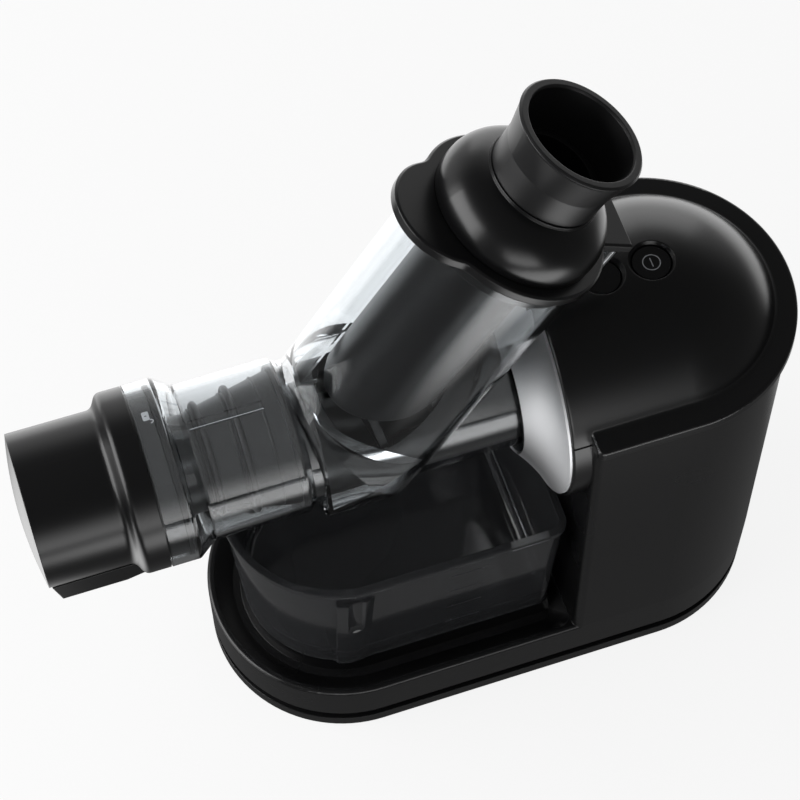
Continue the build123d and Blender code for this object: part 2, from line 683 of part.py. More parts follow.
with BuildPart() as motor_end_bell:
    with BuildSketch(crossPlane(canBackX)):
        Circle(motorRadius - 3)
    extrude(amount=bellLength)
    fillet(motor_end_bell.edges().group_by(Axis.X)[-1], 2.5)
    with BuildSketch(crossPlane(canBackX - 3)):
        Circle(motorRadius - canWall - 0.05)
    extrude(amount=3)
    with BuildSketch(crossPlane(canBackX - 4)):
        Circle(motorShaftRadius + runningGap)
    extrude(amount=8, mode=Mode.SUBTRACT)
finish(motor_end_bell.part, "motor_end_bell")

with BuildPart() as motor_shaft:
    with BuildSketch(crossPlane(firstX)):
        with BuildLine():
            Polyline(*gearOutline(sunTeeth, backlash, phase=90), close=True)
        make_face()
    extrude(amount=firstFace)
    with BuildSketch(crossPlane(firstX + firstFace - 0.5)):
        Circle(motorShaftRadius)
    extrude(amount=canBackX + 2 - firstX - firstFace)
finish(motor_shaft.part, "motor_shaft")

with BuildPart() as motor_armature:
    with BuildSketch(crossPlane(canFrontX + 6)):
        Circle(armatureRadius)
        Circle(motorShaftRadius + 0.02, mode=Mode.SUBTRACT)
        with PolarLocations(armatureRadius, 8):
            Rectangle(6, 3, mode=Mode.SUBTRACT)
    extrude(amount=motorLength - 14)
finish(motor_armature.part, "motor_armature")

# --- boards, buttons and gland -----------------------------------------------

boardThickness = 1.6
switchHeight = 3.5
buttonBoardZ = axisHeight + max(caseRadius, motorRadius) + 4.0
stemBottomZ = buttonBoardZ + boardThickness + switchHeight + buttonTravel + 0.2
buttonSkirt = 2.7

with BuildPart() as button_board:
    with BuildSketch(Plane.XY.offset(buttonBoardZ)):
        with Locations(((powerX + reverseX) / 2, 0)):
            RectangleRounded(powerX - reverseX + 24, 24, 2)
    extrude(amount=boardThickness)
    for buttonX in (powerX, reverseX):
        with BuildSketch(Plane.XY.offset(buttonBoardZ + boardThickness)):
            with Locations((buttonX, 0)):
                Rectangle(6, 6)
        extrude(amount=switchHeight - 1)
        with BuildSketch(Plane.XY.offset(buttonBoardZ + boardThickness + switchHeight - 1)):
            with Locations((buttonX, 0)):
                Circle(1.7)
        extrude(amount=1)
finish(button_board.part, "button_board")

for buttonName, buttonX in (("power_button", powerX), ("reverse_button", reverseX)):
    with BuildPart() as button:
        with BuildSketch(Plane.XY.offset(buttonTopZ - buttonSkirt)):
            with Locations((buttonX, 0)):
                Circle(buttonRadius)
        extrude(amount=buttonSkirt)
        fillet(button.edges().group_by(Axis.Z)[-1], 0.6)
        # flange that keeps the button in its well, and the foot over the switch
        with BuildSketch(Plane.XY.offset(buttonTopZ - buttonSkirt)):
            with Locations((buttonX, 0)):
                Circle(buttonRadius + 1.4)
        extrude(amount=1.0)
        with BuildSketch(Plane.XY.offset(stemBottomZ)):
            with Locations((buttonX, 0)):
                Circle(2.4)
        extrude(amount=buttonTopZ - stemBottomZ - 1)
    finish(button.part, buttonName)

with BuildPart() as control_board:
    with BuildSketch(Plane(origin=(boardX, 0, 87), x_dir=(0, 1, 0), z_dir=(1, 0, 0))):
        RectangleRounded(70, 74, 2)
    extrude(amount=boardThickness)
    with BuildSketch(Plane(origin=(boardX + boardThickness, 0, 87), x_dir=(0, 1, 0),
                           z_dir=(1, 0, 0))):
        with Locations((-16, 10), (14, 16), (8, -18)):
            Rectangle(16, 14)
    extrude(amount=12)
finish(control_board.part, "control_board")

with BuildPart() as cord_gland:
    with BuildSketch(Plane.XZ.offset(0)):
        with BuildLine():
            Polyline((rearX - 10, glandZ + 3.2), (rearX + 1.2, glandZ + 3.2),
                     (rearX + 1.2, glandZ + 6.2), (rearX, glandZ + 6.8), (rearX, glandZ + glandRadius),
                     (rearX - 10, glandZ + glandRadius), close=True)
        make_face()
    revolve(axis=Axis((rearX, 0, glandZ), (1, 0, 0)))
    split(bisect_by=Plane(origin=(rearX + 5, 0, 0), z_dir=(1, 0, 0)), keep=Keep.BOTTOM)
finish(cord_gland.part, "cord_gland")

# --- juicing chamber ---------------------------------------------------------
# One clear moulding: flange for the pulp container, barrel, slanted feed tube,
# hub with the juice spout, the interlock rib behind the feed tube and the lugs
# that lock into the drive socket.

flangeBackX = flangeFrontX + flangeLength
shoulderEndX = flangeBackX + shoulderLength
flangeBore = flangeRadius - clearWall
frontBore = frontBarrelRadius - clearWall
rearBore = barrelRadius - clearWall
feedBore = feedRadius - 2.4
ribReach = tabReach - 0.9
ribWidth = 18.0
ribWall = 2.2
railWidth = 3.6


def ribFoot(n):
    """Level foot of the rib, just above the crown of the dome, at offset n from the tube's axis."""
    return (domeRadius + 1.0 - n * cos(radians(feedAngle))) / sin(radians(feedAngle))


# the hub: the feed tube carried down round the barrel, flat in front
with BuildPart() as hubOuter:
    with BuildSketch(feedPlane(-70)):
        Circle(feedRadius)
    extrude(amount=100)
    with BuildSketch(crossPlane(hubFrontX)):
        Circle(feedRadius)
    extrude(amount=120, mode=Mode.INTERSECT)

with BuildPart() as hubInner:
    with BuildSketch(feedPlane(-70)):
        Circle(feedBore)
    extrude(amount=100)
    with BuildSketch(crossPlane(hubFrontX + clearWall)):
        Circle(feedBore)
    extrude(amount=120, mode=Mode.INTERSECT)

with BuildPart() as juicing_chamber:
    with BuildSketch(Plane.XZ):
        with BuildLine():
            Polyline((flangeFrontX, axisHeight), (flangeFrontX, axisHeight + flangeRadius),
                     (flangeBackX, axisHeight + flangeRadius),
                     (shoulderEndX, axisHeight + frontBarrelRadius),
                     (barrelStepX - 3, axisHeight + frontBarrelRadius),
                     (barrelStepX, axisHeight + barrelRadius),
                     (chamberRearX, axisHeight + barrelRadius), (chamberRearX, axisHeight),
                     close=True)
        make_face()
    revolve(axis=driveAxis)
    roundOver = [e for e in juicing_chamber.edges().filter_by(GeomType.CIRCLE)
                 if flangeBackX - 0.1 < e.center().X < barrelStepX - 2]
    fillet(roundOver, 2.2)
    with BuildSketch(feedPlane(0)):
        Circle(feedRadius)
    extrude(amount=feedTop)
    add(hubOuter.part)
    with BuildSketch(Plane.XY.offset(spoutBottomZ)):
        with Locations((spoutX, 0)):
            Circle(spoutRadius)
    extrude(amount=axisHeight - barrelRadius + 8 - spoutBottomZ)
    # interlock rib
    with BuildSketch(feedProfile):
        with BuildLine():
            Polyline((-feedRadius + 1, feedTop), (-ribReach, feedTop), (-ribReach, ribFoot(-ribReach)),
                     (-feedRadius + 1, ribFoot(-feedRadius + 1)), close=True)
        make_face()
    extrude(amount=ribWidth / 2, both=True)
    # lugs
    with BuildSketch(crossPlane(lugX)):
        for index in range(3):
            with PolarLocations(0, 1, start_angle=90 + 120 * index):
                with BuildLine():
                    reach = barrelRadius + lugHeight
                    half = radians(lugAngle / 2)
                    inner = barrelRadius - 0.6
                    Line((inner * cos(half), -inner * sin(half)),
                         (reach * cos(half), -reach * sin(half)))
                    ThreePointArc((reach * cos(half), -reach * sin(half)), (reach, 0),
                                  (reach * cos(half), reach * sin(half)))
                    Line((reach * cos(half), reach * sin(half)), (inner * cos(half), inner * sin(half)))
                    ThreePointArc((inner * cos(half), inner * sin(half)), (inner, 0),
                                  (inner * cos(half), -inner * sin(half)))
                make_face()
    extrude(amount=lugLength)
    # bores
    with BuildSketch(Plane.XZ):
        with BuildLine():
            Polyline((flangeFrontX - 1, axisHeight), (flangeFrontX - 1, axisHeight + flangeBore),
                     (flangeBackX - 1, axisHeight + flangeBore),
                     (shoulderEndX - 1.4, axisHeight + frontBore),
                     (barrelStepX - 3, axisHeight + frontBore), (barrelStepX, axisHeight + rearBore),
                     (chamberRearX + 1, axisHeight + rearBore), (chamberRearX + 1, axisHeight),
                     close=True)
        make_face()
    revolve(axis=driveAxis, mode=Mode.SUBTRACT)
    add(hubInner.part, mode=Mode.SUBTRACT)
    with BuildSketch(feedPlane(20)):
        Circle(feedBore)
    extrude(amount=feedTop, mode=Mode.SUBTRACT)
    with BuildSketch(Plane.XY.offset(spoutBottomZ - 1)):
        with Locations((spoutX, 0)):
            Circle(spoutRadius - clearWall)
    extrude(amount=axisHeight - rearBore - spoutBottomZ + 2, mode=Mode.SUBTRACT)
    with BuildSketch(feedProfile):
        with BuildLine():
            Polyline((-feedRadius - 0.8, feedTop + 1), (-ribReach + ribWall, feedTop + 1),
                     (-ribReach + ribWall, ribFoot(-ribReach) + ribWall),
                     (-feedRadius - 0.8, ribFoot(-feedRadius - 0.8) + ribWall), close=True)
        make_face()
    extrude(amount=ribWidth / 2 - ribWall, both=True, mode=Mode.SUBTRACT)
    # guide rail for the strainer, along the crown of the front barrel
    with BuildSketch(Plane.XZ):
        with BuildLine():
            Polyline((shoulderEndX + 0.5, axisHeight + frontBore + 0.8),
                     (shoulderEndX + 0.5, axisHeight + frontBore - 1.6),
                     (shoulderEndX + 32, axisHeight + frontBore - 1.6),
                     (shoulderEndX + 32, axisHeight + frontBore + 0.8), close=True)
        make_face()
    extrude(amount=railWidth / 2, both=True)
finish(juicing_chamber.part, "juicing_chamber")

# --- strainer ----------------------------------------------------------------

sleeveRadius = rearBore - strainerGap
sleeveBore = sleeveRadius - strainerWall
outletStepX = -129.8         # the outlet's short cylinder ends here
ringRibXs = (-123.8, -109.7)
# fine ridges on the cone, in front of the rings and of its end
ridgeXs = (-126.4, -112.4, min(-98.3, coneStartX - 6.9))
coneSlope = (sleeveRadius + 0.3 - outletRadius) / (coneStartX - outletStepX)
holeRows = 7
holeColumns = 9
holeSize = 2.0
holeArc = 150.0


def coneRadius(x):
    """Outer radius of the strainer's outlet cone at x."""
    return min(max(outletRadius, outletRadius + coneSlope * (x - outletStepX)), sleeveRadius + 0.3)


with BuildPart() as strainer:
    with BuildSketch(Plane.XZ):
        with BuildLine():
            Polyline((outletX, axisHeight + outletRadius - strainerWall),
                     (outletX, axisHeight + outletRadius), (outletStepX, axisHeight + outletRadius),
                     (coneStartX, axisHeight + coneRadius(coneStartX)),
                     (coneStartX, axisHeight + frontBore - strainerGap),
                     (coneStartX + 1.8, axisHeight + frontBore - strainerGap),
                     (coneStartX + 1.8, axisHeight + sleeveRadius),
                     (strainerRearX, axisHeight + sleeveRadius),
                     (strainerRearX, axisHeight + sleeveBore),
                     (coneStartX, axisHeight + sleeveBore),
                     (outletStepX, axisHeight + outletRadius - strainerWall), close=True)
        make_face()
        for ribX in ringRibXs:
            with Locations((ribX, axisHeight + coneRadius(ribX) + 0.9)):
                Circle(1.6)
        for ridgeX in ridgeXs:
            with Locations((ridgeX, axisHeight + coneRadius(ridgeX) + 0.1)):
                Circle(0.5)
    revolve(axis=driveAxis)
    # opening below the feed tube
    with BuildSketch(feedPlane(6)):
        Circle(sleeveBore - 1.5)
    extrude(amount=60, mode=Mode.SUBTRACT)
    # juice slots round the lower half
    for row in range(holeRows):
        angle = 270 - holeArc / 2 + holeArc * row / (holeRows - 1)
        rowPlane = Plane(origin=(0, 0, axisHeight), x_dir=(1, 0, 0),
                         z_dir=(0, cos(radians(angle)), sin(radians(angle))))
        with BuildSketch(rowPlane):
            with Locations(*[(-80 + 80 * column / (holeColumns - 1), 0)
                             for column in range(holeColumns)]):
                Rectangle(holeSize * 2.2, holeSize)
        extrude(amount=sleeveRadius + 4, mode=Mode.SUBTRACT)
finish(strainer.part, "strainer")

# --- auger -------------------------------------------------------------------

flightRadius = sleeveBore - augerGap
flightStartX = coneStartX - 1.0
flightEndX = chamberRearX - 12.0
noseClearance = 1.2
augerRearX = chamberRearX + 0.6

# one flight: a tapered tooth of the cross-section, twisted along the axis
with BuildSketch(crossPlane(flightStartX)) as flightSection:
    with BuildLine():
        tipHalf = 180 * flightThickness / flightPitch
        rootHalf = tipHalf * 1.9
        rootR = augerCoreRadius - 2
        CenterArc((0, 0), rootR, -rootHalf, 2 * rootHalf)
        CenterArc((0, 0), flightRadius, -tipHalf, 2 * tipHalf)
        for side in (-1, 1):
            Line((rootR * cos(radians(side * rootHalf)), rootR * sin(radians(side * rootHalf))),
                 (flightRadius * cos(radians(side * tipHalf)),
                  flightRadius * sin(radians(side * tipHalf))))
    make_face()
flight = Solid.extrude_linear_with_rotation(
    flightSection.sketch.faces()[0], (flightStartX, 0, axisHeight),
    (flightEndX - flightStartX, 0, 0), 360 * (flightEndX - flightStartX) / flightPitch)

with BuildPart() as auger:
    with BuildSketch(Plane.XZ):
        with BuildLine():
            Polyline((outletX + 4, axisHeight), (outletX + 4, axisHeight + 6),
                     (outletX + 8, axisHeight + outletRadius - strainerWall - noseClearance - 1.5),
                     (-129.0, axisHeight + outletRadius - strainerWall - noseClearance),
                     (coneStartX - 2, axisHeight + sleeveBore - noseClearance - 0.6),
                     (coneStartX + 8, axisHeight + augerCoreRadius + 3),
                     (flightEndX, axisHeight + augerCoreRadius),
                     (flightEndX + 1, axisHeight + flightRadius - 1.0),
                     (augerRearX, axisHeight + flightRadius - 1.0), (augerRearX, axisHeight),
                     close=True)
        make_face()
    revolve(axis=driveAxis)
    add(flight)
    with BuildSketch(crossPlane(shaftFrontX - 0.6)):
        RegularPolygon(dogFlats / 2 + 0.1, 6, major_radius=False)
    extrude(amount=dogLength + 6, mode=Mode.SUBTRACT)
finish(auger.part, "auger")

with BuildPart() as chamber_seal:
    with BuildSketch(crossPlane(chamberRearX + 0.1)):
        Circle(barrelRadius)
        Circle(rearBore - 1.0, mode=Mode.SUBTRACT)
    extrude(amount=socketBackX - chamberRearX - 0.3)
finish(chamber_seal.part, "chamber_seal")

# --- lock band, pulp container and its seal ----------------------------------

bandFrom, bandTo = 60.0, 127.0      # angles about the juicing axis, from +Y towards +Z
trimGap = 0.02               # between pieces of one body that only touch
bandGap = 0.35               # the band turns inside the clear flange
neckOuter = flangeBore - 1.5
neckBackX = flangeBackX - 1.3
collarFrontX = flangeFrontX - collarGap - 8.4
collarBackX = flangeFrontX - collarGap
bodyEndX = collarFrontX - 7.6
faceX = collarFrontX - containerLength + 8.4

with BuildPart() as lock_band:
    with BuildSketch(crossPlane(flangeFrontX + 0.6)):
        with BuildLine():
            outer = flangeBore - bandGap
            inner = neckOuter + trimGap
            CenterArc((0, 0), outer, bandFrom, bandTo - bandFrom)
            CenterArc((0, 0), inner, bandFrom, bandTo - bandFrom)
            for edgeAngle in (bandFrom, bandTo):
                Line((inner * cos(radians(edgeAngle)), inner * sin(radians(edgeAngle))),
                     (outer * cos(radians(edgeAngle)), outer * sin(radians(edgeAngle))))
        make_face()
    extrude(amount=neckBackX - 3.1 - flangeFrontX - 0.6)
finish(lock_band.part, "lock_band")

with BuildPart() as pulp_container:
    with BuildSketch(Plane.XZ):
        with BuildLine():
            ThreePointArc((faceX - containerBulge, axisHeight),
                          (faceX - containerBulge * 0.75, axisHeight + containerRadius / 2),
                          (faceX, axisHeight + containerRadius))
            Line((faceX, axisHeight + containerRadius), (bodyEndX, axisHeight + containerRadius))
            Spline((bodyEndX, axisHeight + containerRadius),
                   (collarFrontX, axisHeight + flangeRadius - 0.1),
                   tangents=((1, 0), (1, 0)))
            Polyline((collarFrontX, axisHeight + flangeRadius - 0.1),
                     (collarBackX, axisHeight + flangeRadius - 0.1),
                     (collarBackX, axisHeight + neckOuter), (neckBackX, axisHeight + neckOuter),
                     (neckBackX, axisHeight), (faceX - containerBulge, axisHeight))
        make_face()
    revolve(axis=driveAxis)
    # flat keel
    with BuildSketch(Plane.XZ):
        with BuildLine():
            Polyline((faceX + 1.2, axisHeight - containerRadius + 8),
                     (faceX + 4.2, axisHeight - keelDrop), (bodyEndX - 2, axisHeight - keelDrop),
                     (collarFrontX + 2, axisHeight - flangeRadius + 5),
                     (collarFrontX + 2, axisHeight - containerRadius + 8), close=True)
        make_face()
    extrude(amount=keelWidth / 2, both=True)
    # inside
    with BuildSketch(Plane.XZ):
        with BuildLine():
            Polyline((faceX + containerWall, axisHeight),
                     (faceX + containerWall, axisHeight + containerRadius - containerWall),
                     (bodyEndX, axisHeight + containerRadius - containerWall),
                     (collarFrontX, axisHeight + neckOuter - containerWall),
                     (neckBackX + 1, axisHeight + neckOuter - containerWall),
                     (neckBackX + 1, axisHeight), close=True)
        make_face()
    revolve(axis=driveAxis, mode=Mode.SUBTRACT)
    with BuildSketch(Plane.XZ):
        with BuildLine():
            Polyline((faceX + 6, axisHeight - 10), (faceX + 6, axisHeight - keelDrop + containerWall),
                     (bodyEndX - 3, axisHeight - keelDrop + containerWall),
                     (bodyEndX - 3, axisHeight - 10), close=True)
        make_face()
    extrude(amount=keelWidth / 2 - containerWall, both=True, mode=Mode.SUBTRACT)
    # groove for the seal
    with BuildSketch(crossPlane(neckBackX - 2.8)):
        Circle(neckOuter + 1)
        Circle(neckOuter - 1.2, mode=Mode.SUBTRACT)
    extrude(amount=2.0, mode=Mode.SUBTRACT)
finish(pulp_container.part, "pulp_container")

with BuildPart() as container_seal:
    with BuildSketch(crossPlane(neckBackX - 2.7)):
        Circle(flangeBore - runningGap)
        Circle(neckOuter - 1.2 + trimGap, mode=Mode.SUBTRACT)
    extrude(amount=1.8)
finish(container_seal.part, "container_seal")

# --- feed lid, pusher and grip -----------------------------------------------

lidBottom = feedTop + 0.2
lidTop = lidBottom + lidThickness
throatRadius = stemRadius + 0.4

with BuildPart() as feed_lid:
    with BuildSketch(feedPlane(lidBottom)) as lidOutline:
        Circle(lidRadius)
        with Locations((lobeCentre, 0)):
            Circle(lobeRadius)
        fillet([v for v in lidOutline.vertices() if abs(v.Y) > 5], 9.0)
        with Locations((-tabReach / 2, 0)):
            Rectangle(tabReach, tabWidth)
    extrude(amount=lidThickness)
    topEdges = [e for e in feed_lid.edges()
                if abs((e.center() - feedOrigin).dot(feedDir) - lidTop) < 0.01]
    chamfer(topEdges, 0.8)
    # skirt in the mouth of the feed tube, and the throat that guides the pusher
    with BuildSketch(feedPlane(lidBottom - 7)):
        Circle(feedBore - 0.35)
        Circle(feedBore - 2.6, mode=Mode.SUBTRACT)
        Circle(throatRadius + 2.0)
        Circle(throatRadius, mode=Mode.SUBTRACT)
    extrude(amount=8)
    with BuildSketch(feedPlane(lidBottom - 1)):
        Circle(throatRadius)
    extrude(amount=lidThickness + 2, mode=Mode.SUBTRACT)
finish(feed_lid.part, "feed_lid")

pusherSeat = lidTop + 0.3
neckS = pusherSeat + neckRise
cavityRadius = 17.0
cavityFloor = 62.0
plugSeat = 128.0             # the hollow stem is closed by a plug from here
plugThickness = 2.6
plugLedge = 1.4
ledgeRise = 5.8              # the pusher's collar inside the grip, above the dome's neck

with BuildPart() as pusher:
    with BuildSketch(feedProfile):
        with BuildLine():
            Polyline((0, 0), (stemRadius, 0), (stemRadius, pusherSeat), (domeBaseRadius, pusherSeat),
                     (domeBaseRadius, pusherSeat + 1.2))
            ThreePointArc((domeBaseRadius, pusherSeat + 1.2),
                          (domeBaseRadius - 2.6, pusherSeat + neckRise * 0.62),
                          (neckRadius, neckS - 1.4))
            Polyline((neckRadius, neckS - 1.4), (neckRadius, neckS),
                     (gripRadius - gripWall - 0.05, neckS),
                     (gripRadius - gripWall - 0.05, neckS + ledgeRise), (0, neckS + ledgeRise), (0, 0))
        make_face()
    revolve(axis=feedAxis)
    with BuildSketch(feedPlane(cavityFloor)):
        Circle(cavityRadius - plugLedge)
    extrude(amount=plugSeat - cavityFloor + 1, mode=Mode.SUBTRACT)
    with BuildSketch(feedPlane(plugSeat)):
        Circle(cavityRadius)
    extrude(amount=neckS + 10 - plugSeat, mode=Mode.SUBTRACT)
    # level foot, parallel to the barrel
    split(bisect_by=Plane(origin=(feedX, 0, axisHeight + stemAboveAxis), z_dir=(0, 0, 1)),
          keep=Keep.TOP)
finish(pusher.part, "pusher")

with BuildPart() as pusher_plug:
    with BuildSketch(feedPlane(plugSeat + 0.02)):
        Circle(cavityRadius - 0.05)
    extrude(amount=plugThickness)
    with BuildSketch(feedPlane(plugSeat + plugThickness - 1.2)):
        Circle(cavityRadius - 4)
        Circle(cavityRadius - 7, mode=Mode.SUBTRACT)
    extrude(amount=2, mode=Mode.SUBTRACT)
finish(pusher_plug.part, "pusher_plug")

gripCrown = neckS + gripLength

with BuildPart() as pusher_grip:
    with BuildSketch(feedProfile):
        with BuildLine():
            Polyline((gripRadius - gripWall, neckS + 0.05), (gripRadius, neckS + 0.05),
                     (gripRadius + 0.4, neckS + gripLength * 0.45), (gripTopRadius - 0.5, gripCrown - 2.0),
                     (gripTopRadius, gripCrown - 1.0), (gripTopRadius - 0.8, gripCrown),
                     (gripTopRadius - gripWall - 0.6, gripCrown),
                     (gripTopRadius - gripWall - 1.2, gripCrown - 1.0),
                     (gripRadius - gripWall, neckS + 7.5), close=True)
        make_face()
    revolve(axis=feedAxis)
finish(pusher_grip.part, "pusher_grip")

# --- juice jug ---------------------------------------------------------------

jugBottom = jugSeat + seatGap
rimHeight = 3.2
gripX = -76.8
gripWidth = 17.0
gripReach = 1.6              # how far the grip column stands out past the widest wall
gripFootReach = 0.7          # the same at its foot, so that it follows the wall's draft
scoopRadius = 7.0
scoopDepth = 1.6
scoopRise = 44.0             # from the jug's foot to the bottom of the thumb scoop
floorRise = 9.0              # the floor's top above the foot
footRecess = 6.4
floorRounding = 6.0

gripTop = jugTop - 10.0
gripLean = degrees(atan((jugTopHalfWidth + gripReach - jugBottomHalfWidth - gripFootReach)
                        / (gripTop - jugBottom)))
scoopY = (scoopDepth - scoopRadius - jugBottomHalfWidth - gripFootReach
          - scoopRise * tan(radians(gripLean)))


def jugShell(halfBottom, halfTop, low, high, rearInset, rounding=0.0):
    """Drafted solid with one round end, from z = low to z = high."""
    with BuildPart(mode=Mode.PRIVATE) as shell:
        add(roundEnd(low, halfBottom, jugArcX, jugRearX - rearInset, 7.0 - rearInset))
        add(roundEnd(high, halfTop, jugArcX, jugRearX + 1.6 - rearInset, 7.0 - rearInset))
        loft()
        if rounding > 0:
            fillet(shell.edges().group_by(Axis.Z)[0], rounding)
    return shell.part


with BuildPart() as juice_jug:
    add(jugShell(jugBottomHalfWidth, jugTopHalfWidth, jugBottom, jugTop - rimHeight, 0))
    add(roundEnd(jugTop - rimHeight, jugRimHalfWidth, jugArcX, jugRearX + 2.6, 7.5))
    extrude(amount=rimHeight)
    # upright grip column with a bowed face that follows the wall's draft
    for height, reach in ((jugBottom, jugBottomHalfWidth + gripFootReach),
                          (gripTop, jugTopHalfWidth + gripReach)):
        with BuildSketch(Plane.XY.offset(height)):
            with BuildLine():
                Polyline((gripX - gripWidth / 2, 2.0 - reach), (gripX - gripWidth / 2, 14 - reach),
                         (gripX + gripWidth / 2, 14 - reach), (gripX + gripWidth / 2, 2.0 - reach))
                ThreePointArc((gripX + gripWidth / 2, 2.0 - reach), (gripX, -reach),
                              (gripX - gripWidth / 2, 2.0 - reach))
            make_face()
    loft()
    # thumb scoop let into the upper half of the column's face
    with Locations(Location((gripX, scoopY, jugBottom + scoopRise), (gripLean, 0, 0))):
        Sphere(scoopRadius, mode=Mode.SUBTRACT)
        Cylinder(scoopRadius, jugTop, align=(Align.CENTER, Align.CENTER, Align.MIN),
                 mode=Mode.SUBTRACT)
    add(jugShell(jugBottomHalfWidth - jugWall, jugTopHalfWidth - jugWall, jugBottom + floorRise,
                 jugTop + 0.5, jugWall, floorRounding), mode=Mode.SUBTRACT)
    # recess inside the foot
    add(roundEnd(jugBottom - 1, jugBottomHalfWidth - jugWall, jugArcX, jugRearX - jugWall, 5.0))
    extrude(amount=footRecess + 1, mode=Mode.SUBTRACT)
finish(juice_jug.part, "juice_jug")
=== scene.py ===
import bpy
import numpy as np
from math import cos, sin, radians
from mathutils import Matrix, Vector


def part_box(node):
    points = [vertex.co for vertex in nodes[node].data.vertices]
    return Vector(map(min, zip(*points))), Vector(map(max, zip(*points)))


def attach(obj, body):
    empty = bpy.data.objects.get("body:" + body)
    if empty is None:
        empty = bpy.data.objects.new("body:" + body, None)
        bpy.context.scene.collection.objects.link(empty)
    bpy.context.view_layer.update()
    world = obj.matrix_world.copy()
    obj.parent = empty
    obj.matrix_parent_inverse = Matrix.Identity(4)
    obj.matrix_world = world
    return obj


# Cold press juicer: materials, printed marks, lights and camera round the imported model.
# Lengths are metres, and the frame is the model's own: +X to the motor tower, -Y to the user.

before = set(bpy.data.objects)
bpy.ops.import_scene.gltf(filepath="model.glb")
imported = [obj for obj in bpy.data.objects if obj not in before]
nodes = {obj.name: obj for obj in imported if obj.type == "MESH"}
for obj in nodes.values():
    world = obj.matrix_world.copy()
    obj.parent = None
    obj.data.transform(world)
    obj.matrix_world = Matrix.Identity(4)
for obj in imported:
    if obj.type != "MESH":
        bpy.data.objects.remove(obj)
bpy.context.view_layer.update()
mm = 0.001
print("frame loaded:", len(nodes), "nodes")


def linear(hexText):
    # sRGB hex text to linear red, green, blue and alpha 1
    channels = [int(hexText[i:i + 2], 16) / 255 for i in (1, 3, 5)]
    return tuple(c / 12.92 if c <= 0.04045 else ((c + 0.055) / 1.055) ** 2.4 for c in channels) + (1.0,)


def addNode(material, kind, settings=None, links=None):
    # one node: settings by property or socket name, links by socket name to another node's output
    node = material.node_tree.nodes.new(kind)
    for name, value in (settings or {}).items():
        if isinstance(name, str) and hasattr(node, name):
            setattr(node, name, value)
        else:
            node.inputs[name].default_value = value
    for name, source in (links or {}).items():
        material.node_tree.links.new(source, node.inputs[name])
    return node


def newMaterial(name):
    material = bpy.data.materials.new(name)
    material.use_nodes = True
    material.node_tree.nodes.clear()
    return material


def finishMaterial(material, shader):
    addNode(material, "ShaderNodeOutputMaterial", links={"Surface": shader.outputs[0]})
    return material


def giveMaterial(material, *names):
    for name in names:
        slots = nodes[name].data.materials
        slots.clear()
        slots.append(material)


# Moulded plastics and rubber. Each grain is the mould's spark-eroded texture in mm, drawn coarser
# than the real one so that it shows.

satinBlack = {
    "colour": "#0E0E0F",
    "roughness": 0.28,
    "spread": 0.05,
    "grainMm": 0.35,
    "depthMm": 0.004,
    "ior": 1.53,
}
mattBlack = {"colour": "#131314", "roughness": 0.38, "spread": 0.06, "grainMm": 0.4, "depthMm": 0.006,
             "ior": 1.53}
polishedBlack = {"colour": "#0C0C0D", "roughness": 0.14, "spread": 0.03, "grainMm": 0.5,
                 "depthMm": 0.001, "ior": 1.53}
strainerBlack = {"colour": "#121213", "roughness": 0.33, "spread": 0.05, "grainMm": 0.5,
                 "depthMm": 0.003, "ior": 1.49}
rubberGrey = {"colour": "#18181A", "roughness": 0.65, "spread": 0.08, "grainMm": 0.6,
              "depthMm": 0.01, "ior": 1.41}
gearCream = {"colour": "#D9D4C6", "roughness": 0.4, "spread": 0.05, "grainMm": 0.4,
             "depthMm": 0.002, "ior": 1.48}
boardGreen = {"colour": "#1F5A2E", "roughness": 0.35, "spread": 0.05, "grainMm": 0.5,
              "depthMm": 0.004, "ior": 1.55}
mouldedEdge = {"roundMm": 0.6, "samples": 6}        # every moulded edge is a little round
mouldedDrift = 9.0      # gloss drifts slowly, over about 110 mm


def mouldedPlastic(name, settings):
    # fine even grain from the mould breaks up the highlights and leaves a soft sheen, and each edge
    # is a little round, so that it catches a thin line of light
    material = newMaterial(name)
    place = addNode(material, "ShaderNodeTexCoord")
    grain = addNode(material, "ShaderNodeTexNoise",
                    {"Scale": 1 / (settings["grainMm"] * mm), "Detail": 2.0, "Roughness": 0.55},
                    {"Vector": place.outputs["Object"]})
    drift = addNode(material, "ShaderNodeTexNoise", {"Scale": mouldedDrift, "Detail": 2.0},
                    {"Vector": place.outputs["Object"]})
    middle, half = settings["roughness"], settings["spread"] / 2
    rough = addNode(material, "ShaderNodeMapRange", {"To Min": middle - half, "To Max": middle + half},
                    {"Value": drift.outputs["Fac"]})
    bump = addNode(material, "ShaderNodeBump", {"Strength": 0.5, "Distance": settings["depthMm"] * mm},
                   {"Height": grain.outputs["Fac"]})
    rounded = addNode(material, "ShaderNodeBevel",
                      {"samples": mouldedEdge["samples"], "Radius": mouldedEdge["roundMm"] * mm},
                      {"Normal": bump.outputs["Normal"]})
    surface = addNode(material, "ShaderNodeBsdfPrincipled",
                      {"Base Color": linear(settings["colour"]), "IOR": settings["ior"]},
                      {"Roughness": rough.outputs["Result"], "Normal": rounded.outputs["Normal"]})
    return finishMaterial(material, surface)


# a deep black with a soft, wide sheen
absSatin = mouldedPlastic("absMouldedSatin", satinBlack)
giveMaterial(absSatin, "lower_housing", "top_cover", "base_plate", "pulp_container", "feed_lid",
             "pusher", "pusher_plug", "drive_socket", "lock_band")

# duller and a shade paler, for the hand to hold
gripMatt = mouldedPlastic("absMouldedMatt", mattBlack)
giveMaterial(gripMatt, "pusher_grip")

# the polished caps show small, sharp lights
absPolished = mouldedPlastic("absMouldedPolished", polishedBlack)
giveMaterial(absPolished, "power_button", "reverse_button")

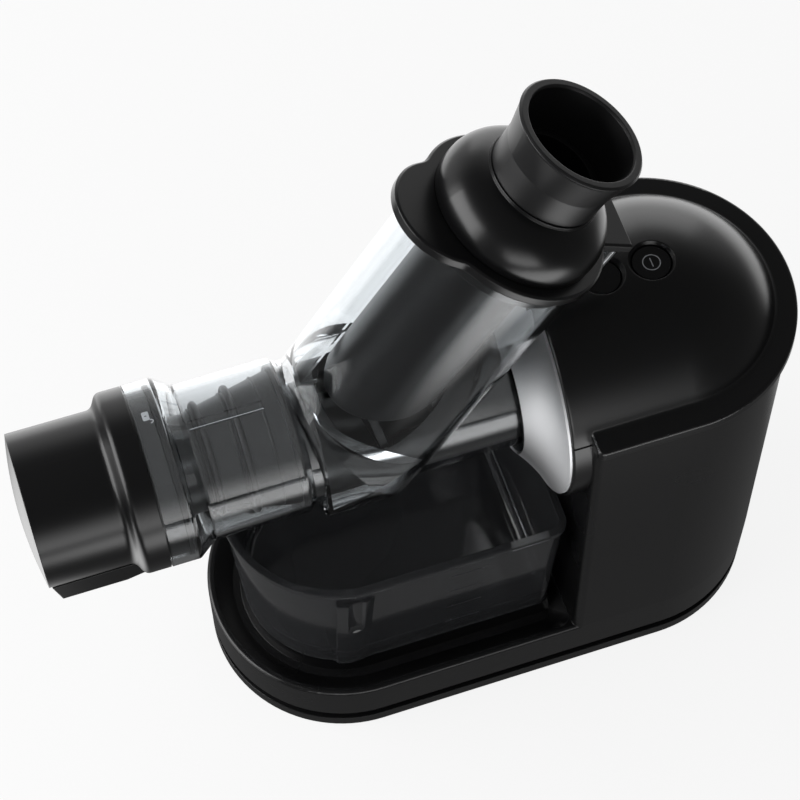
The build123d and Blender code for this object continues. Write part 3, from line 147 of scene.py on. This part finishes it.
# slightly waxy, so its highlights are dull behind the clear wall
ppSatin = mouldedPlastic("polypropyleneMoulded", strainerBlack)
giveMaterial(ppSatin, "strainer", "auger", "motor_end_bell")

# nearly no highlight
rubberMatt = mouldedPlastic("siliconeMouldedMatt", rubberGrey)
giveMaterial(rubberMatt, "pad_front_left", "pad_front_right", "pad_rear_left", "pad_rear_right",
             "chamber_seal", "container_seal", "shaft_seal", "cord_gland")

# creamy white with a greasy sheen
acetal = mouldedPlastic("acetalMoulded", gearCream)
giveMaterial(acetal, "first_carrier", "first_planet_1", "first_planet_2", "first_planet_3")

# green solder mask over glass cloth
laminate = mouldedPlastic("glassEpoxyLaminate", boardGreen)
giveMaterial(laminate, "button_board", "control_board")
print("plastics done")

# Metals. The lines are those of the tool or the abrasive, and run along one axis.

zincSteel = {"colour": "#B9BABD", "roughness": 0.32, "lineMm": 0.3, "along": "X", "spread": 0.05}
castGrey = {"colour": "#B0B2B5", "roughness": 0.5, "lineMm": 0.8, "along": "Z", "spread": 0.08}
ironGrey = {"colour": "#6A6C70", "roughness": 0.5, "lineMm": 0.5, "along": "Y", "spread": 0.08}
bronzeBrown = {"colour": "#B58A4C", "roughness": 0.4, "lineMm": 0.4, "along": "X", "spread": 0.06}
brushedLine = {"stretch": 60, "depthMm": 0.01}      # a line is this many times as long as it is wide


def brushedMetal(name, settings):
    # fine lines left by the abrasive run along one direction and spread the highlight across it
    material = newMaterial(name)
    place = addNode(material, "ShaderNodeTexCoord")
    stretch = [1 / (settings["lineMm"] * mm)] * 3
    stretch["XYZ".index(settings["along"])] *= 1 / brushedLine["stretch"]
    lay = addNode(material, "ShaderNodeMapping", {"Scale": tuple(stretch)},
                  {"Vector": place.outputs["Object"]})
    lines = addNode(material, "ShaderNodeTexNoise", {"Scale": 1.0, "Detail": 3.0, "Roughness": 0.6},
                    {"Vector": lay.outputs["Vector"]})
    middle, spread = settings["roughness"], settings["spread"]
    rough = addNode(material, "ShaderNodeMapRange",
                    {"To Min": middle - spread, "To Max": middle + spread},
                    {"Value": lines.outputs["Fac"]})
    bump = addNode(material, "ShaderNodeBump", {"Strength": 0.4, "Distance": brushedLine["depthMm"] * mm},
                   {"Height": lines.outputs["Fac"]})
    surface = addNode(material, "ShaderNodeBsdfPrincipled",
                      {"Base Color": linear(settings["colour"]), "Metallic": 1.0},
                      {"Roughness": rough.outputs["Result"], "Normal": bump.outputs["Normal"]})
    return finishMaterial(material, surface)


# bright plating with a faint drawn grain
steelZinc = brushedMetal("steelZincPlated", zincSteel)
giveMaterial(steelZinc, "base_screws", "case_screws", "motor_can", "output_carrier", "motor_shaft",
             "second_planet_1", "second_planet_2", "second_planet_3")
# a dull, coarse casting skin
castAlloy = brushedMetal("aluminiumDieCast", castGrey)
giveMaterial(castAlloy, "gearbox_case")
# dark punched sheets, seen on edge
ironStack = brushedMetal("ironLaminated", ironGrey)
giveMaterial(ironStack, "motor_armature")
# warm and porous, so softly lit
bronze = brushedMetal("bronzeSintered", bronzeBrown)
giveMaterial(bronze, "output_bearing")

coneSteel = {
    "colour": "#DCDDDF",
    "roughness": 0.38,
    "smoother": 0.05,       # how far the lines take the roughness down, and up
    "rougher": 0.08,
    "stretch": 0.75,        # how far the lines draw the highlight out across them
    "lineMm": 0.12,
    "lineDepthMm": 0.004,
}


def spunSteel(name, settings, axisZ):
    # the ring is turned, so its lines are circles about the drive axis: noise of the radius alone
    material = newMaterial(name)
    place = addNode(material, "ShaderNodeTexCoord")
    parts = addNode(material, "ShaderNodeSeparateXYZ", links={"Vector": place.outputs["Object"]})
    lift = addNode(material, "ShaderNodeMath", {"operation": "SUBTRACT", 1: axisZ},
                   {0: parts.outputs["Z"]})
    square = addNode(material, "ShaderNodeMath", {"operation": "MULTIPLY"},
                     {0: lift.outputs[0], 1: lift.outputs[0]})
    total = addNode(material, "ShaderNodeMath", {"operation": "MULTIPLY_ADD"},
                    {0: parts.outputs["Y"], 1: parts.outputs["Y"], 2: square.outputs[0]})
    radius = addNode(material, "ShaderNodeMath", {"operation": "SQRT"}, {0: total.outputs[0]})
    lines = addNode(material, "ShaderNodeTexNoise",
                    {"noise_dimensions": "1D", "Scale": 1 / (settings["lineMm"] * mm), "Detail": 3.0},
                    {"W": radius.outputs[0]})
    middle = settings["roughness"]
    rough = addNode(material, "ShaderNodeMapRange",
                    {"To Min": middle - settings["smoother"], "To Max": middle + settings["rougher"]},
                    {"Value": lines.outputs["Fac"]})
    bump = addNode(material, "ShaderNodeBump", {"Strength": 0.6, "Distance": settings["lineDepthMm"] * mm},
                   {"Height": lines.outputs["Fac"]})
    back = addNode(material, "ShaderNodeMath", {"operation": "MULTIPLY", 1: -1.0}, {0: lift.outputs[0]})
    around = addNode(material, "ShaderNodeCombineXYZ",
                     links={"Y": back.outputs[0], "Z": parts.outputs["Y"]})
    surface = addNode(material, "ShaderNodeBsdfPrincipled",
                      {"Base Color": linear(settings["colour"]), "Metallic": 1.0,
                       "Anisotropic": settings["stretch"]},
                      {"Roughness": rough.outputs["Result"], "Normal": bump.outputs["Normal"],
                       "Tangent": around.outputs["Vector"]})
    return finishMaterial(material, surface)


# the steel ring is round about the drive axis, so the axis lies halfway up its box
driveAxisZ = (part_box("collar_ring")[0].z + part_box("collar_ring")[1].z) / 2
giveMaterial(spunSteel("stainlessSteelSpun", coneSteel, driveAxisZ), "collar_ring")
print("metals done")

# Clear plastics. The haze is a share of plain diffuse colour in with the glass, for the dyed jug.

clearChamber = {"tint": "#E6E9EB", "roughness": 0.02, "ior": 1.49, "haze": "#FFFFFF", "hazeShare": 0.0}
smokedJug = {"tint": "#85878A", "roughness": 0.06, "ior": 1.53, "haze": "#4A4B4D", "hazeShare": 0.26}
clearWave = {"scale": 40.0, "depthMm": 0.02}        # one wave in about 25 mm


def clearPlastic(name, settings):
    # polished mould: clear with sharp reflections, a trace of waviness from cooling
    material = newMaterial(name)
    place = addNode(material, "ShaderNodeTexCoord")
    wave = addNode(material, "ShaderNodeTexNoise", {"Scale": clearWave["scale"], "Detail": 1.0},
                   {"Vector": place.outputs["Object"]})
    bump = addNode(material, "ShaderNodeBump", {"Strength": 0.2, "Distance": clearWave["depthMm"] * mm},
                   {"Height": wave.outputs["Fac"]})
    surface = addNode(material, "ShaderNodeBsdfPrincipled",
                      {"Base Color": linear(settings["tint"]), "Roughness": settings["roughness"],
                       "IOR": settings["ior"], "Transmission Weight": 1.0},
                      {"Normal": bump.outputs["Normal"]})
    haze = addNode(material, "ShaderNodeBsdfDiffuse", {"Color": linear(settings["haze"])})
    surface = addNode(material, "ShaderNodeMixShader", {0: settings["hazeShare"]},
                      {1: surface.outputs[0], 2: haze.outputs[0]})
    return finishMaterial(material, surface)


giveMaterial(clearPlastic("copolyesterClearPolished", clearChamber), "juicing_chamber")
giveMaterial(clearPlastic("copolyesterSmoked", smokedJug), "juice_jug")
print("clear plastics done")

# Printed marks, each laid out flat as (u, v) in mm and then wrapped onto its piece.

inkDrift = {"scale": 2500.0, "darkest": 0.85, "gloss": 0.05}     # drifts over about 0.4 mm


def printedInk(name, colour, roughness):
    # pad-printed ink lies thin and slightly uneven, so its colour and its gloss drift a little
    material = newMaterial(name)
    place = addNode(material, "ShaderNodeTexCoord")
    drift = addNode(material, "ShaderNodeTexNoise", {"Scale": inkDrift["scale"], "Detail": 2.0},
                    {"Vector": place.outputs["Object"]})
    rough = addNode(material, "ShaderNodeMapRange",
                    {"To Min": roughness - inkDrift["gloss"], "To Max": roughness + inkDrift["gloss"]},
                    {"Value": drift.outputs["Fac"]})
    tone = addNode(material, "ShaderNodeMapRange", {"To Min": inkDrift["darkest"], "To Max": 1.0},
                   {"Value": drift.outputs["Fac"]})
    ink = addNode(material, "ShaderNodeVectorMath", {"operation": "SCALE", 0: linear(colour)[:3]},
                  {"Scale": tone.outputs["Result"]})
    surface = addNode(material, "ShaderNodeBsdfPrincipled", {"IOR": 1.5},
                      {"Base Color": ink.outputs["Vector"], "Roughness": rough.outputs["Result"]})
    return finishMaterial(material, surface)


def arc(centre, radii, start, end, steps=40):
    # centre + (ru cos t, rv sin t), in mm on the mark's own flat sheet
    t = np.radians(np.linspace(start, end, steps))
    return np.stack([centre[0] + radii[0] * np.cos(t), centre[1] + radii[1] * np.sin(t)], 1)


def roundedBox(low, high, radius, steps=8):
    # four quarter arcs joined, counter-clockwise
    corners = ((high[0], high[1], 0), (low[0], high[1], 90),
               (low[0], low[1], 180), (high[0], low[1], 270))
    runs = []
    for u, v, turn in corners:
        inner = (u + (radius if u == low[0] else -radius),
                 v + (radius if v == low[1] else -radius))
        runs.append(arc(inner, (radius, radius), turn, turn + 90, steps))
    return np.concatenate(runs)


def printMark(name, bands, wrap, material, body):
    # each band is a pair of lines of equal length with the ink between them, and wrap lays (u, v)
    # on the surface
    points, faces = [], []
    for outer, inner in bands:
        base = sum(len(p) for p in points)
        count = len(outer)
        points += [outer, inner]
        faces += [(base + i, base + i + 1, base + count + i + 1, base + count + i)
                  for i in range(count - 1)]
    mesh = bpy.data.meshes.new(name)
    mesh.from_pydata(wrap(np.concatenate(points)).tolist(), [], faces)
    mesh.materials.append(material)
    piece = bpy.data.objects.new(name, mesh)
    bpy.context.scene.collection.objects.link(piece)
    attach(piece, body)


def closed(line):
    # the line with its first point again at its end
    return np.concatenate([line, line[:1]])


powerMark = {"radius": 3.8, "line": 0.42, "bar": 4.3, "steps": 97, "lift": 0.03, "ink": "#8C8E92",
             "gloss": 0.4}
lockMark = {
    "place": (-144.6, 79.2),        # x in mm, and degrees round the drive axis
    "wide": 2.8,
    "high": 4.5,
    "corner": 0.6,
    "keyhole": (0.5, 0.22),         # half width and half height
    "keyholeCorner": 0.2,
    "hookPlace": (-0.1, 0.75),      # from the case's corner
    "hookRadius": 1.0,
    "hookLonger": 0.45,
    "line": 0.5,
    "lift": 0.05,
    "ink": "#E4E5E7",
    "gloss": 0.4,
}
jugMarks = {
    "left": -34.2,
    "right": -17.8,
    "heights": (52.4, 70.8, 89.3, 107.0),
    "line": 0.4,
    "tickFromLeft": 3,      # a short upright tick stands on each line near its left end
    "tickWide": 0.3,
    "tickHigh": 2.2,
    "foot": (-46.3, 37.9),          # y and z of the front wall at its foot and at its crest
    "crest": (-51.3, 118.8),
    "lift": 0.05,
    "ink": "#2A2B2D",
    "gloss": 0.3,
}


def printPowerMark(button, settings, ink):
    low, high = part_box(button)
    centre = ((low.x + high.x) / 2, (low.y + high.y) / 2)
    line, steps = settings["line"], settings["steps"]
    ring = (arc((0, 0), [settings["radius"]] * 2, 0, 360, steps),
            arc((0, 0), [settings["radius"] - line] * 2, 0, 360, steps))
    bar = tuple(np.array([(x, -settings["bar"] / 2), (x, settings["bar"] / 2)])
                for x in (line / 2, -line / 2))

    def wrap(flat):
        # level, just above the button's top: (centre x + u, centre y + v, top)
        height = np.full(len(flat), high.z + settings["lift"] * mm)
        return np.stack([centre[0] + flat[:, 0] * mm, centre[1] + flat[:, 1] * mm, height], 1)

    printMark("power_mark", [ring, bar], wrap, ink, "power_button")


def printLockMark(settings, ink):
    # a padlock: a rounded case round a keyhole, and half a ring for its hook
    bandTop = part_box("lock_band")[1].z
    radius = bandTop - driveAxisZ + settings["lift"] * mm
    wide, high = settings["wide"], settings["high"]
    holeWide, holeHigh = settings["keyhole"]
    case = (closed(roundedBox((-wide / 2, -high / 2), (wide / 2, high / 2), settings["corner"])),
            closed(roundedBox((-holeWide, -holeHigh), (holeWide, holeHigh), settings["keyholeCorner"])))
    hookCentre = (wide / 2 + settings["hookPlace"][0], high / 2 + settings["hookPlace"][1])
    hook = tuple(arc(hookCentre, (r + settings["hookLonger"], r), -90, 90)
                 for r in (settings["hookRadius"], settings["hookRadius"] - settings["line"]))

    def wrap(flat):
        # (x, R cos a, axis + R sin a) with a growing from +Y towards +Z and on to the user
        turn = radians(settings["place"][1]) + flat[:, 1] * mm / radius
        return np.stack([(settings["place"][0] + flat[:, 0]) * mm, radius * np.cos(turn),
                         driveAxisZ + radius * np.sin(turn)], 1)

    printMark("lock_mark", [case, hook], wrap, ink, "container")


def printJugMarks(settings, ink):
    # the front wall leans out from its foot to its crest, each given as (y, z)
    foot, crest = settings["foot"], settings["crest"]
    lean = (crest[0] - foot[0]) / (crest[1] - foot[1])
    tickRight = settings["left"] + settings["tickFromLeft"]
    strips = ((settings["left"], settings["right"], settings["line"]),
              (tickRight - settings["tickWide"], tickRight, settings["tickHigh"]))
    lines = []
    for rise in settings["heights"]:
        for start, end, thick in strips:
            lines.append(tuple(np.array([(start, z), (end, z)]) for z in (rise, rise + thick)))

    def wrap(flat):
        # (u, y of the leaning wall at height v, v)
        y = foot[0] + (flat[:, 1] - foot[1]) * lean - settings["lift"]
        return np.stack([flat[:, 0], y, flat[:, 1]], 1) * mm

    printMark("jug_marks", lines, wrap, ink, "jug")


printPowerMark("power_button", powerMark,
               printedInk("inkPadPrintedGrey", powerMark["ink"], powerMark["gloss"]))
printLockMark(lockMark, printedInk("inkPadPrintedWhite", lockMark["ink"], lockMark["gloss"]))
printJugMarks(jugMarks, printedInk("inkMouldedDark", jugMarks["ink"], jugMarks["gloss"]))
print("marks done")

# Floor, lights and camera. Each lit place on the floor is a round patch with a soft rim, which only
# glossy rays see.

studio = {
    "floorSize": 6.0,
    "paper": (0.78, 0.82),  # the floor's own grey, which drifts a little
    "floorLift": 0.86,      # how much of the floor's white is its own, so that its shadow stays soft
    "floorFront": 0.12,     # what glossy rays see of the floor round the object, which lies in shade
    "floorBehind": 1.6,     # and of the lit floor behind it
    "litCentre": (0.42, 1.25, 0.0),     # the lit floor behind
    "litRadius": 1.15,
    "litSoft": 0.14,
    "sideCentre": (-0.42, 0.0, 0.0),    # lit floor by the container, which the steel ring mirrors
    "sideRadius": 0.14,
    "sideSoft": 0.12,
    "sideGlow": 2.3,
    "stripCentre": (0.05, -0.62, 0.0),  # lit floor in front, for the barrel's lower side
    "stripRadius": 0.27,
    "stripSoft": 0.13,
    "stripGlow": 3.0,
    "frontAim": -0.15,      # the pale front, as the x part of a direction, and half its width
    "frontHalf": 0.27,
    "frontSoft": 0.12,
    "frontGlow": 3.4,
    "frontFade": (-0.1, 0.55),      # it fades out upwards between these, as the z part
    "fill": 0.42,           # even light from all round
    "skyGloss": 0.07,       # dark overhead, for glossy rays
    "horizonFront": 0.10,   # what glossy rays see low down in front, and behind
    "horizonBack": 0.7,
    "horizonTurn": (0.1, 0.9),      # where front goes over into back, as the y part of a direction
    "horizonRise": (0.2, 0.8),      # and where the horizon goes over into the sky, as its z part
}


def studioFloor(settings):
    half = settings["floorSize"] / 2
    corners = np.array([(-half, -half, 0), (half, -half, 0), (half, half, 0), (-half, half, 0)])
    mesh = bpy.data.meshes.new("studioFloor")
    mesh.from_pydata(corners.tolist(), [], [(0, 1, 2, 3)])
    floor = bpy.data.objects.new("studioFloor", mesh)
    bpy.context.scene.collection.objects.link(floor)
    material = newMaterial("paperSeamlessWhite")
    place = addNode(material, "ShaderNodeTexCoord")
    grain = addNode(material, "ShaderNodeTexNoise", {"Scale": 400.0, "Detail": 2.0},
                    {"Vector": place.outputs["Object"]})
    tone = addNode(material, "ShaderNodeMapRange",
                   {"To Min": settings["paper"][0], "To Max": settings["paper"][1]},
                   {"Value": grain.outputs["Fac"]})
    paper = addNode(material, "ShaderNodeBsdfDiffuse", links={"Color": tone.outputs["Result"]})
    own = addNode(material, "ShaderNodeEmission", {"Color": (1, 1, 1, 1), "Strength": 1.0})
    patches = []
    peaks = {"lit": settings["floorBehind"], "strip": settings["stripGlow"], "side": settings["sideGlow"]}
    for name, peak in peaks.items():
        away = addNode(material, "ShaderNodeVectorMath",
                       {"operation": "DISTANCE", 1: settings[name + "Centre"]},
                       {0: place.outputs["Object"]})
        patches.append(addNode(material, "ShaderNodeMapRange",
                               {"interpolation_type": "SMOOTHSTEP", "From Min": settings[name + "Radius"],
                                "From Max": settings[name + "Radius"] + settings[name + "Soft"],
                                "To Min": peak, "To Max": settings["floorFront"]},
                               {"Value": away.outputs["Value"]}))
    depth = patches[0]
    for patch in patches[1:]:
        depth = addNode(material, "ShaderNodeMath", {"operation": "MAXIMUM"},
                        {0: depth.outputs[0], 1: patch.outputs["Result"]})
    mirrored = addNode(material, "ShaderNodeEmission", {"Color": (1, 1, 1, 1)},
                       {"Strength": depth.outputs[0]})
    ray = addNode(material, "ShaderNodeLightPath")
    seen = addNode(material, "ShaderNodeMath", {"operation": "MAXIMUM"},
                   {0: ray.outputs["Is Camera Ray"], 1: ray.outputs["Is Transmission Ray"]})
    seen = addNode(material, "ShaderNodeMath", {"operation": "MULTIPLY", 1: settings["floorLift"]},
                   {0: seen.outputs[0]})
    mix = addNode(material, "ShaderNodeMixShader", links={0: seen.outputs[0], 1: paper.outputs[0],
                                                          2: own.outputs[0]})
    mix = addNode(material, "ShaderNodeMixShader", links={0: ray.outputs["Is Glossy Ray"],
                                                          1: mix.outputs[0], 2: mirrored.outputs[0]})
    mesh.materials.append(finishMaterial(material, mix))


def studioWorld(settings):
    # white to the camera. To glossy rays it is dark overhead and pale low down behind, and the
    # user's side has one pale patch.
    world = bpy.data.worlds.new("studioWorld")
    bpy.context.scene.world = world
    world.use_nodes = True
    world.node_tree.nodes.clear()
    place = addNode(world, "ShaderNodeTexCoord")
    parts = addNode(world, "ShaderNodeSeparateXYZ", links={"Vector": place.outputs["Generated"]})
    back = addNode(world, "ShaderNodeMapRange",
                   {"interpolation_type": "SMOOTHSTEP", "From Min": settings["horizonTurn"][0],
                    "From Max": settings["horizonTurn"][1],
                    "To Min": settings["horizonFront"], "To Max": settings["horizonBack"]},
                   {"Value": parts.outputs["Y"]})
    high = addNode(world, "ShaderNodeMapRange",
                   {"interpolation_type": "SMOOTHSTEP", "From Min": settings["horizonRise"][0],
                    "From Max": settings["horizonRise"][1], "To Min": 0.0, "To Max": 1.0},
                   {"Value": parts.outputs["Z"]})
    mirrored = addNode(world, "ShaderNodeMix", {"data_type": "FLOAT"},
                       {0: high.outputs["Result"], 2: back.outputs["Result"]})
    mirrored.inputs[3].default_value = settings["skyGloss"]
    # the pale front is widest at the floor and fades upwards
    aside = addNode(world, "ShaderNodeMath", {"operation": "SUBTRACT", 1: settings["frontAim"]},
                    {0: parts.outputs["X"]})
    aside = addNode(world, "ShaderNodeMath", {"operation": "ABSOLUTE"}, {0: aside.outputs[0]})
    across = addNode(world, "ShaderNodeMapRange",
                     {"interpolation_type": "SMOOTHSTEP", "From Min": settings["frontHalf"],
                      "From Max": settings["frontHalf"] + settings["frontSoft"],
                      "To Min": settings["frontGlow"], "To Max": 0.0}, {"Value": aside.outputs[0]})
    fade = addNode(world, "ShaderNodeMapRange",
                   {"interpolation_type": "SMOOTHSTEP", "From Min": settings["frontFade"][0],
                    "From Max": settings["frontFade"][1], "To Min": 1.0, "To Max": 0.0},
                   {"Value": parts.outputs["Z"]})
    ahead = addNode(world, "ShaderNodeMath", {"operation": "LESS_THAN", 1: 0.0}, {0: parts.outputs["Y"]})
    front = addNode(world, "ShaderNodeMath", {"operation": "MULTIPLY"},
                    {0: across.outputs["Result"], 1: fade.outputs["Result"]})
    front = addNode(world, "ShaderNodeMath", {"operation": "MULTIPLY"},
                    {0: front.outputs[0], 1: ahead.outputs[0]})
    mirrored = addNode(world, "ShaderNodeMath", {"operation": "MAXIMUM"},
                       {0: mirrored.outputs[0], 1: front.outputs[0]})
    ray = addNode(world, "ShaderNodeLightPath")
    seen = addNode(world, "ShaderNodeMath", {"operation": "MAXIMUM"},
                   {0: ray.outputs["Is Camera Ray"], 1: ray.outputs["Is Transmission Ray"]})
    even = addNode(world, "ShaderNodeMix", {"data_type": "FLOAT"},
                   {0: ray.outputs["Is Glossy Ray"], 3: mirrored.outputs[0]})
    even.inputs[2].default_value = settings["fill"]
    strength = addNode(world, "ShaderNodeMix", {"data_type": "FLOAT"},
                       {0: seen.outputs[0], 2: even.outputs[0]})
    strength.inputs[3].default_value = 1.0
    glow = addNode(world, "ShaderNodeBackground", {"Color": (1, 1, 1, 1)},
                   {"Strength": strength.outputs[0]})
    addNode(world, "ShaderNodeOutputWorld", links={"Surface": glow.outputs[0]})


lamps = {       # lengths in metres, power in watts
    "boxLeft": {"place": (-1.15, 0.15, 0.75), "aim": (-0.02, 0.0, 0.15),
                "size": (1.3, 1.0), "power": 16},
    "boxBack": {"place": (0.55, 1.1, 0.45), "aim": (0.05, 0, 0.15),
                "size": (1.0, 0.6), "power": 2},
}


def softBox(name, settings):
    light = bpy.data.lights.new(name, "AREA")
    light.shape = "RECTANGLE"
    light.size, light.size_y = settings["size"]
    light.energy = settings["power"]
    lamp = bpy.data.objects.new(name, light)
    bpy.context.scene.collection.objects.link(lamp)
    lamp.location = settings["place"]
    lamp.visible_camera = False
    ray = Vector(settings["aim"]) - Vector(settings["place"])
    lamp.rotation_euler = ray.to_track_quat("-Z", "Y").to_euler()


studioFloor(studio)
studioWorld(studio)
for lampName, lampSettings in lamps.items():
    softBox(lampName, lampSettings)

cameraView = {      # degrees, metres and, for the lens, mm on a 36 mm sensor
    "azimuth": -18.21,
    "elevation": 60.98,
    "roll": -0.24,
    "distance": 1.02905,
    "target": (-0.03542, 0.01320, 0.15866),
    "lens": 107.88,
    "sensor": 36.0,
    "clip": (0.05, 20.0),
}


def placeCamera(view):
    turn, rise, roll = (radians(view[k]) for k in ("azimuth", "elevation", "roll"))
    back = Vector((sin(turn) * cos(rise), -cos(turn) * cos(rise), sin(rise)))
    data = bpy.data.cameras.new("camera")
    data.lens = view["lens"]
    data.sensor_width = view["sensor"]
    data.clip_start, data.clip_end = view["clip"]
    camera = bpy.data.objects.new("camera", data)
    bpy.context.scene.collection.objects.link(camera)
    right = (-back).cross(Vector((0, 0, 1))).normalized()
    up = right.cross(-back)
    tiltedRight = right * cos(roll) + up * sin(roll)
    tiltedUp = up * cos(roll) - right * sin(roll)
    matrix = camera.matrix_world.to_3x3()
    matrix.col[0], matrix.col[1], matrix.col[2] = tiltedRight, tiltedUp, back
    camera.matrix_world = matrix.to_4x4()
    camera.location = Vector(view["target"]) + back * view["distance"]
    bpy.context.scene.camera = camera


placeCamera(cameraView)
bpy.context.scene.view_settings.view_transform = "Standard"
print("lights and camera done")
